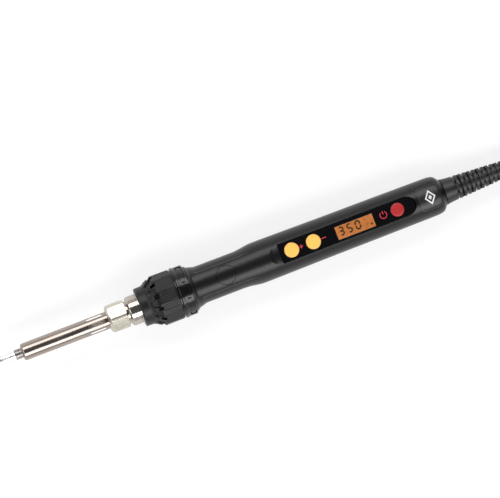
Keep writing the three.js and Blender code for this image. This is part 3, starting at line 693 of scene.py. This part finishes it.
class IRON_OT_tip(bpy.types.Operator):
    """Forges the chisel tip and finishes the heater inside it"""

    bl_idname = "iron.tip"
    bl_label = "Tip and heater"

    def execute(self, context):
        finishes = make_materials(context.scene.iron_looks)
        shank, wetted = 2.6, -3.6
        end = [(-20, 0), *arc(-19.6, 2.0, 0.4, 180, 90, 3), (-12, 2.45), (-10.5, shank)]
        end += [(wetted - 0.5, shank), (wetted - 0.1, shank - 0.12), (wetted, shank - 0.3), (wetted, 0)]
        working = spin("tip_working_end", fine(end, 0.6), 64)
        above = [(-22, 0.2), (-9.6, 2.75), (-9.6, 6), (-22, 6)]
        below = [(x, -z) for x, z in (above[0], above[3], above[2], above[1])]
        for wedge in (above, below):
            carve(working, prism("bevel", wedge, -4, 4, lay=lambda a, b, c: (a, c, b)))
        dress(working, finishes["tinned"], "tip", ["soldering_tip"], 0.12)
        body = [
            (wetted + 0.05, 2.3), (wetted + 0.05, shank - 0.1), (wetted + 0.2, shank), (2.2, shank),
            (2.3, 3.4), (2.5, 3.6), (26, 3.6), (26, 2.3), (wetted + 0.05, 2.3),
        ]
        shaft = spin("tip_shank", fine(body, 1.5), 64)
        dress(shaft, finishes["plating"], "tip", ["soldering_tip"])
        repaint("ceramic", "heater_core")
        repaint("chip", "heater_mount")
        repaint("steel", "lock_ring")
        return {"FINISHED"}


class IRON_OT_barrel(bpy.types.Operator):
    """Draws the slotted barrel tube"""

    bl_idname = "iron.barrel"
    bl_label = "Barrel"

    def execute(self, context):
        finishes = make_materials(context.scene.iron_looks)
        radius, bore, mouth, lip, flange_front, back = 4.5, 4.0, 3.25, 2.0, 48.8, 50.2
        profile = [(0.25, mouth), (0.0, mouth + 0.25), *arc(1.3, radius - 1.3, 1.3, 160, 90, 8)]
        profile += [(flange_front, radius), (flange_front, 5.8), (back, 5.8), (back, bore), (lip, bore)]
        profile += [(lip, mouth), (0.25, mouth)]
        tube = spin("barrel_tube_drawn", fine(profile, 3.0), 96)
        slots = context.scene.iron_grip.slots
        tools = []
        for k in range(slots):
            outline = rounded(35.7, 44.9, -1.1, 1.1, 1.05, 8)
            tools.append(radial(prism("slot", outline, 1, radius + 1), 360 * k / slots))
        carve(tube, *tools)
        dress(tube, finishes["stainless"], "barrel", ["barrel_tube"], 0.1)
        return {"FINISHED"}


class IRON_OT_nut(bpy.types.Operator):
    """Mills the hexagonal union nut"""

    bl_idname = "iron.nut"
    bl_label = "Union nut"

    def execute(self, context):
        finishes = make_materials(context.scene.iron_looks)
        front, back, radius, flats, turn = 46.5, 56.5, 7.58, 13.9, -7
        profile = [
            (front, 4.8), (front, radius - 1.75), (front + 0.12, radius - 1.5), (front + 1.35, radius - 0.1),
            (front + 1.6, radius), (back - 0.45, radius), (back - 0.15, radius - 0.15), (back, radius - 0.4),
            (back, 6.6), (front + 2, 6.6), (front + 2, 4.8), (front, 4.8),
        ]
        nut = spin("union_nut_milled", fine(profile, 1.2), 192)
        corner = flats / math.sqrt(3)
        hexagon = [
            (corner * math.sin(a), corner * math.cos(a))
            for a in (math.radians(turn + 60 * k) for k in range(6))
        ]
        blank = prism("hexagon", hexagon, front - 1, back + 1, lay=lambda a, b, c: (c, a, b))
        carve(nut, blank, operation="INTERSECT")
        dress(nut, finishes["nickel"], "nut", ["barrel_nut"], 0.12, 20)
        return {"FINISHED"}


class IRON_OT_bush(bpy.types.Operator):
    """Turns the threaded neck and the bright sleeve behind the nut"""

    bl_idname = "iron.bush"
    bl_label = "Bush"

    def execute(self, context):
        finishes = make_materials(context.scene.iron_looks)
        neck, rim, bore, tail = 6.25, 7.75, 4.8, 63.7
        thread_start, pitch, root, crest = 50.9, 0.8, neck - 0.42, neck - 0.02
        thread = []
        for k in range(8):
            x = thread_start + pitch * k
            thread += [(x, root), (x + 0.15, crest), (x + 0.35, crest), (x + 0.5, root)]
        profile = [(50.5, bore), (50.5, neck - 0.6), *thread, (57.6, neck - 0.3), (57.7, neck + 0.3)]
        profile += [(57.8, rim - 0.75), (58.05, rim - 0.6), (58.4, rim - 0.25), (58.75, rim - 0.15)]
        profile += [(58.9, rim - 0.15), (59.0, rim), (62.9, rim), (63.1, rim - 0.12), (tail, rim - 0.12)]
        profile += [(tail, neck), (71, neck), (71, bore), (50.5, bore)]
        bush = spin("threaded_bush_turned", profile, 128)
        dress(bush, finishes["chrome"], "handle", ["threaded_bush"], 0.0, 30)
        return {"FINISHED"}


# ---- Heat collar and front ring -----------------------------------------------------------------


class IRON_OT_collar(bpy.types.Operator):
    """Moulds the heat collar: a round nose, twelve flutes and a twelve-sided vented skirt"""

    bl_idname = "iron.collar"
    bl_label = "Heat collar"

    def execute(self, context):
        finishes = make_materials(context.scene.iron_looks)
        front, prism_front, back, corner = 64.0, 73.6, 83.9, 13.4
        flute_centre, skirt_corner, vent_turn = -5, -10, 10
        flute_point, flute_taper, flute_width, flute_depth = 67.6, 3.4, 11.5, 1.15
        inner_limit = 9.6  # radii below this belong to the bore and stay round
        flat = corner * math.cos(math.radians(15))

        def shape(x, angle, r):
            """Flattens the skirt to twelve sides and hollows the pointed flutes ahead of it."""
            if r < inner_limit:
                return r
            from_edge = degrees_apart(angle, skirt_corner + 15, 30)
            twelve = flat / math.cos(math.radians(from_edge))
            side = smooth_step(70.2, prism_front, x)
            if x >= prism_front:
                scored = prism_front + 0.5 < x < back - 0.4 and degrees_apart(angle, 0, 5) < 0.4
                return min(r, twelve) - (0.07 if scored else 0)
            off = degrees_apart(angle, flute_centre, 30)
            width = flute_width * min(1.0, max(0.0, x - flute_point) / flute_taper)
            hollow = flute_depth * smooth_step(0, 2.6, width - off) * smooth_step(flute_point, 70.5, x)
            hollow *= 1 - 0.5 * smooth_step(72.6, prism_front, x)
            return min(r, r + (twelve - r) * side if twelve < r else r) - hollow

        profile = [(front, 6.6), (front, 9.75), (front + 0.1, 9.95), (front + 0.35, 10.1), (68.0, 10.25)]
        profile += [(69.0, 10.7), (70.5, 11.65), (72.0, 12.45), (73.2, 13.1), (prism_front, 13.4)]
        profile = fine(profile[1:], 0.35)
        skirt = [(prism_front + 0.02, 13.38), (76.0, 13.38), (83.3, 13.22), (83.6, 13.05), (back, 12.8)]
        skirt = fine(skirt, 0.9)
        inside = [(back, 11.3), (prism_front, 11.3), (69, 8.9), (66, 8.6), (66, 6.6), (front, 6.6)]
        collar = spin("heat_collar_moulded", [(front, 6.6), *profile, *skirt, *inside], 360, shape)
        vents = []
        for k in range(12):
            hole = rounded(71.9, 74.6, -1.05, 1.05, 0.4, 3)
            vents.append(radial(prism("vent", hole, 9.5, 15), vent_turn + 30 * k))
        seam = slab("seam", prism_front + 0.6, back + 1, -0.09, 0.09, 12.75, 15)
        carve(collar, *vents, radial(seam, -26.5))
        dress(collar, finishes["collar"], "handle", ["heat_collar"], 0.0, 28)

        ring = self.ring()
        dress(ring, finishes["gloss"], "handle", ["front_ring"], 0.08, 28)
        return {"FINISHED"}

    def ring(self):
        """The band behind the collar, with long and square pockets cut into it."""
        lip, front, step, back = 84.0, 84.5, RING_STEP, 91.0
        bore, lip_radius, radius, band = 11.2, 12.5, RING_RADIUS, 13.2
        profile = [(lip, bore), (lip, lip_radius), (front, lip_radius), (front, radius - 0.5)]
        profile += [(front + 0.15, radius - 0.2), (front + 0.45, radius)]
        profile += [(step - 0.15, radius), (step, radius - 0.1), (step + 0.15, band), (back - 0.6, band)]
        profile += [(back - 0.2, band - 0.15), (back, band - 0.5), (back, bore), (lip, bore)]
        ring = spin("front_ring_moulded", profile, 240)

        def patch(outline, floor, degrees):
            """The part of a ring-shaped space above a floor radius that an outline covers."""
            space = spin("space", [(86, floor), (86, 15), (91.5, 15), (91.5, floor), (86, floor)], 192)
            return radial(carve(space, outline, operation="INTERSECT"), degrees)

        def stadium(inset, low, high):
            """A long pocket's outline, drawn in by inset and raised between two heights."""
            half = reach - inset
            outline = rounded(86.9 + inset, 90.2 - inset, -half, half, 1.6 - inset, 8)
            return prism("stadium", outline, low, high)

        pockets = []
        reach = band * math.sin(math.radians(28))
        floor_depth, groove_depth, square_depth = 0.28, 0.7, 1.1
        for k in range(4):
            pockets.append(patch(stadium(0, 2, 16), band - floor_depth, 45 + 90 * k))
            groove = carve(stadium(0.15, 2, 16), stadium(0.6, 1, 17))
            pockets.append(patch(groove, band - groove_depth, 45 + 90 * k))
            square = prism("square", rounded(87.2, 89.8, -1.35, 1.35, 0.35, 4), 2, 16)
            pockets.append(patch(square, band - square_depth, 90 * k))
        return carve(ring, *pockets)


# ---- Handle -------------------------------------------------------------------------------------

HANDLE_OUTLINE = (
    (91.3, 11.95), (91.9, 11.8), (92.6, 11.15), (93.5, 10.7), (95, 10.4), (96.5, 10.25), (119.5, 10.2),
    (122, 10.35), (125, 10.65), (128.6, 10.9), (144, 10.75), (166, 10.5), (192, 10.4), (209, 10.25),
    (REAR_STATION, REAR_RADIUS), (225.4, 10.05), (227, 9.75), (228.1, 9.3), (229, 8.4), (229.7, 7.4),
    (230.4, 6.9),
)
CAVITY_OUTLINE = (
    (226.7, 4.6), (226.7, 7.6), (223, 8.1), (200, 8.7), (125, 8.7), (119, 8.4), (93.5, 8.4), (91, 9.3),
    (76, 9.3),
)
OUTSIDE_FROM = 9.6  # radii above this belong to the handle's outside
HOLLOW_EDGE = (37.5, 43.5)  # degrees from top or bottom over which the finger hollow begins
HOLLOW_FRONT, HOLLOW_BACK, HOLLOW_DEPTH = (94.5, 97.0), (117.0, 128.0), 0.5
CAP_STATION, CAP_RADIUS = 110.2, 4.9
WINDOW = (169.1, 192.6)  # the opening under the display
BADGE_FRONT, BADGE_BACK, BADGE_HALF = 215.7, 228.4, 6.6


def handle_radius(station):
    """The handle's outside at a station."""
    for (x0, r0), (x1, r1) in zip(HANDLE_OUTLINE, HANDLE_OUTLINE[1:]):
        if station <= x1:
            return r0 + (r1 - r0) * max(0, station - x0) / (x1 - x0)
    return HANDLE_OUTLINE[-1][1]


def softened(profile):
    """Rounds a profile's corners by cutting each of them twice, keeping its ends."""
    for _ in range(2):
        cut = [profile[0]]
        for (x0, r0), (x1, r1) in zip(profile, profile[1:]):
            for near, far in ((0.8, 0.2), (0.2, 0.8)):
                cut.append((near * x0 + far * x1, near * r0 + far * r1))
        profile = cut + [profile[-1]]
    return profile


def finger_hollow(x, angle, r):
    """Lowers the grip's sides a little below its top and bottom, between two soft edges."""
    if r < OUTSIDE_FROM:
        return r
    side = math.degrees(math.asin(abs(math.sin(angle))))
    across = smooth_step(*HOLLOW_EDGE, side)
    along = smooth_step(*HOLLOW_FRONT, x) * (1 - smooth_step(*HOLLOW_BACK, x))
    return r - HOLLOW_DEPTH * across * along


def panel_outline(margin):
    """Square at the front and half an ellipse at the rear."""
    half = PANEL_HALF + margin
    stretch = (PANEL_END + margin) / half
    corner = 0.5
    nose = arc(PANEL_BACK - PANEL_END, 0, half, -90, 90, 24, stretch)
    front = PANEL_FRONT - margin
    return nose + arc(front + corner, half - corner, corner, 90, 180, 4) + arc(
        front + corner, corner - half, corner, 180, 270, 4
    )


def post(name, station, radius, low, high):
    """An upright cylinder, for cutting."""
    return prism(name, arc(station, 0.0, radius, 0, 360, 48)[:-1], low, high)


class IRON_OT_handle(bpy.types.Operator):
    """Moulds the two handle shells with their openings and the flush screw cap"""

    bl_idname = "iron.handle"
    bl_label = "Handle"

    def execute(self, context):
        finishes = make_materials(context.scene.iron_looks)
        outline = fine(softened(HANDLE_OUTLINE), 1.5)
        spigot = [(76, 10.6), (76.3, 10.9), (91.3, 10.9)]
        closed = [(76, 9.3), *spigot, *outline, (230.4, 4.6), *CAVITY_OUTLINE]
        upper = spin("handle_shell_upper", closed, 288, finger_hollow)
        lower = upper.copy()
        lower.data = upper.data.copy()
        lower.name = "handle_shell_lower"
        context.scene.collection.objects.link(lower)
        split, floor = 0.05, PANEL_TOP - 1.25
        carve(lower, slab("half", 70, 240, -20, 20, -split, 20))
        tools = [
            slab("half", 70, 240, -20, 20, -20, split),
            prism("recess", panel_outline(0.12), floor, 14),
            self.dish(),
            post("cap_hole", CAP_STATION, CAP_RADIUS + 0.24, 6, 14),
            self.badge_recess(),
            slab("window", *WINDOW, -4.9, 4.9, 5, 9),
        ]
        carve(upper, *tools)
        dress(upper, finishes["handle"], "handle", ["upper_shell"], 0.0, 30)
        dress(lower, finishes["handle"], "handle", ["lower_shell"], 0.0, 30)
        deck = prism("panel_deck", panel_outline(0.05), 6.4, floor - 0.02)
        holes = [post("hole", station, radius + 0.5, 5, 9) for station, radius, _ in BUTTONS.values()]
        carve(deck, *holes, slab("window", *WINDOW, -4.75, 4.75, 5, 9))
        dress(deck, finishes["handle"], "handle", ["upper_shell"])

        top = fine([(105, handle_radius(105)), (116, handle_radius(116))], 1.0)
        form = [(100, 0), (100, handle_radius(100)), *top, (120, handle_radius(120)), (120, 0)]
        cap = spin("cap_form", form, 288)
        carve(cap, post("cap_round", CAP_STATION, CAP_RADIUS, 8.4, 14), operation="INTERSECT")
        cap.name = "screw_cap_flush"
        dress(cap, finishes["handle"], "handle", ["screw_cap"], 0.1, 40)
        repaint("steel", "front_screw", "rear_screw_1", "rear_screw_2", "board_screw_1", "board_screw_2")
        return {"FINISHED"}

    def dish(self):
        """The thumb scoop ahead of the panel."""
        reach, depth, squash = 5.6, 2.0, 1.35
        radius = (reach * reach + depth * depth) / (2 * depth)
        centre = handle_radius(PANEL_FRONT) - depth + radius
        rows = 40
        angles = [math.pi * k / rows for k in range(1, rows)]
        profile = [(PANEL_FRONT - radius * math.cos(a), radius * math.sin(a)) for a in angles]
        profile = [(PANEL_FRONT - radius, 0), *profile, (PANEL_FRONT + radius, 0)]
        ball = spin("dish", profile, 96)
        squeeze = Matrix.Translation((0, 0, centre)) @ Matrix.Scale(squash, 4, (0, 1, 0))
        ball.data.transform(POSTURE @ squeeze @ POSTURE.inverted())
        return ball

    def badge_recess(self):
        """The seat of the badge, a little larger than the badge all round."""
        play, low, high = 0.15, 9.05, 12
        front, back, half = BADGE_FRONT - play, BADGE_BACK + play, BADGE_HALF + play
        seat = spin("seat", [(front, low), (front, high), (back, high), (back, low), (front, low)], 192)
        outline = rounded(front, back, -half, half, 1.9, 8)
        return carve(seat, prism("seat_outline", outline, 2, 14), operation="INTERSECT")


# ---- Badge --------------------------------------------------------------------------------------


class IRON_OT_badge(bpy.types.Operator):
    """Moulds the curved badge plate with its outline groove and a plain diamond mark"""

    bl_idname = "iron.badge"
    bl_label = "Badge"

    def execute(self, context):
        finishes = make_materials(context.scene.iron_looks)
        plate = self.skin("badge_plate_curved", 0.9, 0.0)
        outline = rounded(BADGE_FRONT, BADGE_BACK, -BADGE_HALF, BADGE_HALF, 1.8, 10)
        carve(plate, prism("badge_outline", outline, 2, 14), operation="INTERSECT")
        groove = self.skin("groove", 0.16, 0.5)
        inset, width = 0.9, 0.3
        borders = []
        for d, low in ((inset, 2), (inset + width, 1)):
            outline = rounded(BADGE_FRONT + d, BADGE_BACK - d, d - BADGE_HALF, BADGE_HALF - d, 1.5, 8)
            borders.append(prism("border", outline, low, 14))
        carve(groove, carve(*borders), operation="INTERSECT")
        carve(plate, groove)
        dress(plate, finishes["badge"], "handle", ["badge_plate"], 0.06, 35)

        middle, long, wide = 222.0, 2.9, 3.9
        mark = self.skin("badge_mark_diamond", 0.1, 0.07)
        diamonds = []
        for share, low in ((1.0, 2), (0.69, 1), (0.34, 2)):
            x, y = long * share, wide * share
            corners = [(middle + x, 0), (middle, y), (middle - x, 0), (middle, -y)]
            diamonds.append(prism("diamond", corners, low, 14))
        outline, opening, centre = diamonds
        carve(mark, unite(carve(outline, opening), centre), operation="INTERSECT")
        dress(mark, finishes["mark"], "handle", ["badge_plate"])
        return {"FINISHED"}

    def skin(self, name, depth, proud):
        """A band of the handle's round, depth thick and standing proud of it."""
        outer = [(x / 10, handle_radius(x / 10) - 0.03 + proud) for x in range(2150, 2292, 6)]
        inner = [(x, r - depth - proud) for x, r in outer]
        return spin(name, [inner[0], *outer, *inner[::-1]], 240)


# ---- Panel, display and buttons -----------------------------------------------------------------

# The bars that each digit lights: a at the top, then clockwise to f, and g in the middle.
SEGMENTS = {"3": "abcdg", "5": "acdfg", "0": "abcdef"}
DISPLAY = (170.5, 191.0, -3.85, 2.95)  # ends and sides of the display's window


class IRON_OT_panel_face(bpy.types.Operator):
    """Lays the glossy overlay, the lit display with its digits and the printed signs"""

    bl_idname = "iron.panel_face"
    bl_label = "Panel and display"

    def execute(self, context):
        finishes = make_materials(context.scene.iron_looks)
        overlay = prism("panel_overlay", panel_outline(0), PANEL_TOP - 1.15, PANEL_TOP)
        holes = [post("hole", station, radius + 0.22, 6, 12) for station, radius, _ in BUTTONS.values()]
        x0, x1, y0, y1 = DISPLAY
        holes.append(prism("window", rounded(x0, x1, y0, y1, 0.2, 3), 6, 12))
        carve(overlay, *holes)
        dress(overlay, finishes["panel"], "handle", ["display_panel"], 0.07, 40)

        play = 0.03
        outline = rounded(x0 + play, x1 - play, y0 + play, y1 - play, 0.2, 3)
        cell = prism("display_cell", outline, PANEL_TOP - 1.0, PANEL_TOP - 0.06)
        dress(cell, finishes["amber"], "handle", ["lcd_glass"], 0.04)
        self.digits(finishes["segment"])
        self.signs(finishes["ink"])
        repaint("guide", "lcd_light_box")
        return {"FINISHED"}

    def digits(self, material):
        """Seven-segment digits, a dot and a small mark, just above the cell."""
        low, high = PANEL_TOP - 0.05, PANEL_TOP - 0.01
        strokes = []
        for digit, left, width in (("3", 172.1, 2.7), ("5", 176.5, 2.7), ("0", 180.9, 3.0)):
            strokes += [self.segment(part, left, width) for part in SEGMENTS[digit]]
        dot = rounded(188.9, 189.8, -2.4, -1.5, 0.12, 3)
        small_mark = rounded(186.2, 186.55, 1.0, 1.6, 0.1, 3)
        strokes += [dot, small_mark]
        made = [prism("stroke", stroke, low, high) for stroke in strokes]
        whole = self.join("display_digits", made)
        dress(whole, material, "handle")

    def segment(self, part, left, width):
        """One pointed bar of a seven-segment digit."""
        stroke, half, gap = 0.4, 2.45, 0.06
        right = left + width
        mid_left, mid_right = left + stroke, right - stroke
        rows = {"a": half - stroke, "g": 0.0, "d": stroke - half}
        if part in rows:
            y = rows[part]
            low, high = mid_left + gap, mid_right - gap
            return [
                (low, y), (low + stroke, y + stroke), (high - stroke, y + stroke),
                (high, y), (high - stroke, y - stroke), (low + stroke, y - stroke),
            ]
        x = mid_left if part in "ef" else mid_right
        low, high = (gap, half - stroke - gap) if part in "bf" else (stroke - half + gap, -gap)
        return [
            (x, low), (x + stroke, low + stroke), (x + stroke, high - stroke), (x, high),
            (x - stroke, high - stroke), (x - stroke, low + stroke),
        ]

    def signs(self, material):
        """The plus, minus and power signs in red ink."""
        low, high = PANEL_TOP + 0.005, PANEL_TOP + 0.035
        made = [
            prism("sign", rounded(150.3, 152.3, -0.27, 0.27, 0.1, 3), low, high),
            prism("sign", rounded(151.03, 151.57, -1.0, 1.0, 0.1, 3), low + 0.002, high + 0.002),
            prism("sign", rounded(162.35, 164.85, -0.24, 0.24, 0.1, 3), low, high),
        ]
        centre, outside, inside, opening = 196.4, 2.0, 1.55, 38
        ring = arc(centre, 0, outside, 90 + opening, 450 - opening, 40)
        ring += arc(centre, 0, inside, 450 - opening, 90 + opening, 40)
        made.append(prism("sign", ring, low, high))
        made.append(prism("sign", rounded(centre - 0.23, centre + 0.23, 0.35, 2.15, 0.12, 3), low, high))
        whole = self.join("panel_signs", made)
        dress(whole, material, "handle")

    def join(self, name, pieces):
        """Puts several small pieces in one object."""
        bpy.ops.object.select_all(action="DESELECT")
        for piece in pieces:
            piece.select_set(True)
        bpy.context.view_layer.objects.active = pieces[0]
        bpy.ops.object.join()
        pieces[0].name = name
        return pieces[0]


class IRON_OT_buttons(bpy.types.Operator):
    """Moulds the three push buttons and finishes the switches under them"""

    bl_idname = "iron.buttons"
    bl_label = "Buttons"

    def execute(self, context):
        finishes = make_materials(context.scene.iron_looks)
        for name, (station, radius, colour) in BUTTONS.items():
            self.button(name, station, radius, finishes[colour], f"{colour}_button")
            repaint("chip", f"{name}_plunger", f"{name}_switch")
        return {"FINISHED"}

    def button(self, name, station, radius, material, slot):
        """A round key with a softly crowned top, turned about its own upright axis."""
        sides, crown, flange = 64, 10.0, radius + 0.65
        profile = [(0, 5.5), (flange, 5.5), (flange, 6.1), (radius, 6.15), (radius, crown - 0.55)]
        for k in range(1, 6):
            a = math.radians(15 * k)
            profile.append((radius - 0.6 + 0.6 * math.cos(a), crown - 0.6 + 0.45 * math.sin(a)))
        profile += [(radius * t, crown - 0.15 + 0.13 * (1 - t * t)) for t in (0.82, 0.7, 0.55, 0.4, 0.2)]
        profile.append((0, crown - 0.02))
        points, index, faces = [], [], []
        for r, z in profile:
            index.append([len(points) + (i if r else 0) for i in range(sides)])
            count = sides if r else 1
            for i in range(count):
                a = 2 * math.pi * i / sides
                points.append((station + r * math.cos(a), r * math.sin(a), z))
        for a, b in zip(index, index[1:]):
            for i in range(sides):
                j = (i + 1) % sides
                corners = list(dict.fromkeys((a[i], a[j], b[j], b[i])))
                if len(corners) > 2:
                    faces.append(corners)
        key = mesh_of(f"{name}_key_moulded", points, faces)
        dress(key, material, f"{name}_key", [f"{name}_button"], 0.0, 50)


# ---- Strain relief and inner parts --------------------------------------------------------------


class IRON_OT_boot(bpy.types.Operator):
    """Moulds the ribbed strain relief"""

    bl_idname = "iron.boot"
    bl_label = "Strain relief"

    def execute(self, context):
        finishes = make_materials(context.scene.iron_looks)
        pitch = context.scene.iron_grip.ring_pitch / MM
        gap = context.scene.iron_grip.ring_gap / MM
        taper = ((230.7, 6.85), (234, 6.37), (238, 6.05), (242, 5.8), (247, 5.5), (254, 5.1))
        taper += ((259, 4.7), (266, 4.4), (275.5, 4.2), (BOOT_END, 3.9))
        first, last, bridge = 237.2, 274.0, 17.0  # stations of the gaps, half a bridge in degrees
        bore, core = 3.6, 3.65

        def outer(x):
            """The strain relief's outside at a station."""
            for (x0, r0), (x1, r1) in zip(taper, taper[1:]):
                if x <= x1:
                    return r0 + (r1 - r0) * max(0, x - x0) / (x1 - x0)
            return taper[-1][1]

        def slotted(x, angle, r):
            """Sinks the gaps between rings, apart from two staggered bridges across each."""
            place = (x - first) % pitch
            if r < bore or not first <= x <= last or place > gap:
                return r
            turn = 90 * (int((x - first) // pitch) % 2)
            off = degrees_apart(angle, turn, 180)
            return r if off < bridge else core

        rows = [(224.9, 3.3), (224.9, 6.2), (226.4, 6.2), (226.4, 4.3), (230.7, 4.3), (230.7, 6.6)]
        rows += [(230.85, 6.8), *((x, outer(x)) for x in (232, 234, 236)), (first - 0.12, outer(first))]
        x = first
        while x + pitch < last:
            edge = outer(x)
            rows += [(x - 0.03, edge - 0.08), (x, edge - 0.1), (x + gap, edge - 0.1)]
            rows += [(x + gap + 0.03, edge - 0.08), (x + gap + 0.2, edge + 0.04)]
            rows.append((x + pitch - 0.2, edge + 0.02))
            x += pitch
        rows += [(275.4, outer(275.4)), (275.8, 4.05), (BOOT_END, 3.8), (BOOT_END, 3.3), (224.9, 3.3)]
        boot = spin("strain_relief_ribbed", rows, 144, slotted)
        dress(boot, finishes["boot"], "handle", ["strain_boot"], 0.0, 40)
        return {"FINISHED"}


class IRON_OT_inside(bpy.types.Operator):
    """Finishes the board, its components, the leads and the cord clamp"""

    bl_idname = "iron.inside"
    bl_label = "Inner parts"

    def execute(self, context):
        repaint("board", "circuit_board")
        repaint("chip", "lcd_connector", "microcontroller", "electrolytic_capacitor", "triac")
        repaint("component", "film_capacitor", "power_resistor")
        repaint("ceramic", "fuse")
        repaint("red_wire", "heater_lead_1", "heater_lead_2", "live_lead")
        repaint("blue_wire", "sensor_lead_1", "sensor_lead_2", "neutral_lead")
        repaint("handle", "cord_clamp")
        repaint("cord", "cord_entry")
        repaint("steel", "clamp_screw_1", "clamp_screw_2")
        return {"FINISHED"}


# ---- Running it ---------------------------------------------------------------------------------

OPERATORS = (
    IRON_OT_stage, IRON_OT_lead, IRON_OT_tip, IRON_OT_barrel, IRON_OT_nut, IRON_OT_bush, IRON_OT_collar,
    IRON_OT_handle, IRON_OT_badge, IRON_OT_panel_face, IRON_OT_buttons, IRON_OT_boot, IRON_OT_inside,
)


class IRON_PT_panel(bpy.types.Panel):
    """The iron's pieces and sizes"""

    bl_label = "Soldering iron"
    bl_idname = "IRON_PT_panel"
    bl_space_type = "VIEW_3D"
    bl_region_type = "UI"
    bl_category = "Iron"

    def draw(self, context):
        for group, kind in GROUPS:
            for name in kind.bl_rna.properties.keys():
                if name not in {"rna_type", "name"}:
                    self.layout.prop(getattr(context.scene, group), name)
        for operator in OPERATORS:
            self.layout.operator(operator.bl_idname)


CLASSES = (*(kind for _, kind in GROUPS), *OPERATORS, IRON_PT_panel)


def register():
    for kind in CLASSES:
        bpy.utils.register_class(kind)
    for name, kind in GROUPS:
        setattr(bpy.types.Scene, name, PointerProperty(type=kind))


def unregister():
    for name, _ in GROUPS:
        delattr(bpy.types.Scene, name)
    for kind in reversed(CLASSES):
        bpy.utils.unregister_class(kind)


def main():
    register()
    for operator in OPERATORS:
        family, name = operator.bl_idname.split(".")
        getattr(getattr(bpy.ops, family), name)()


if __name__ == "__main__":
    main()
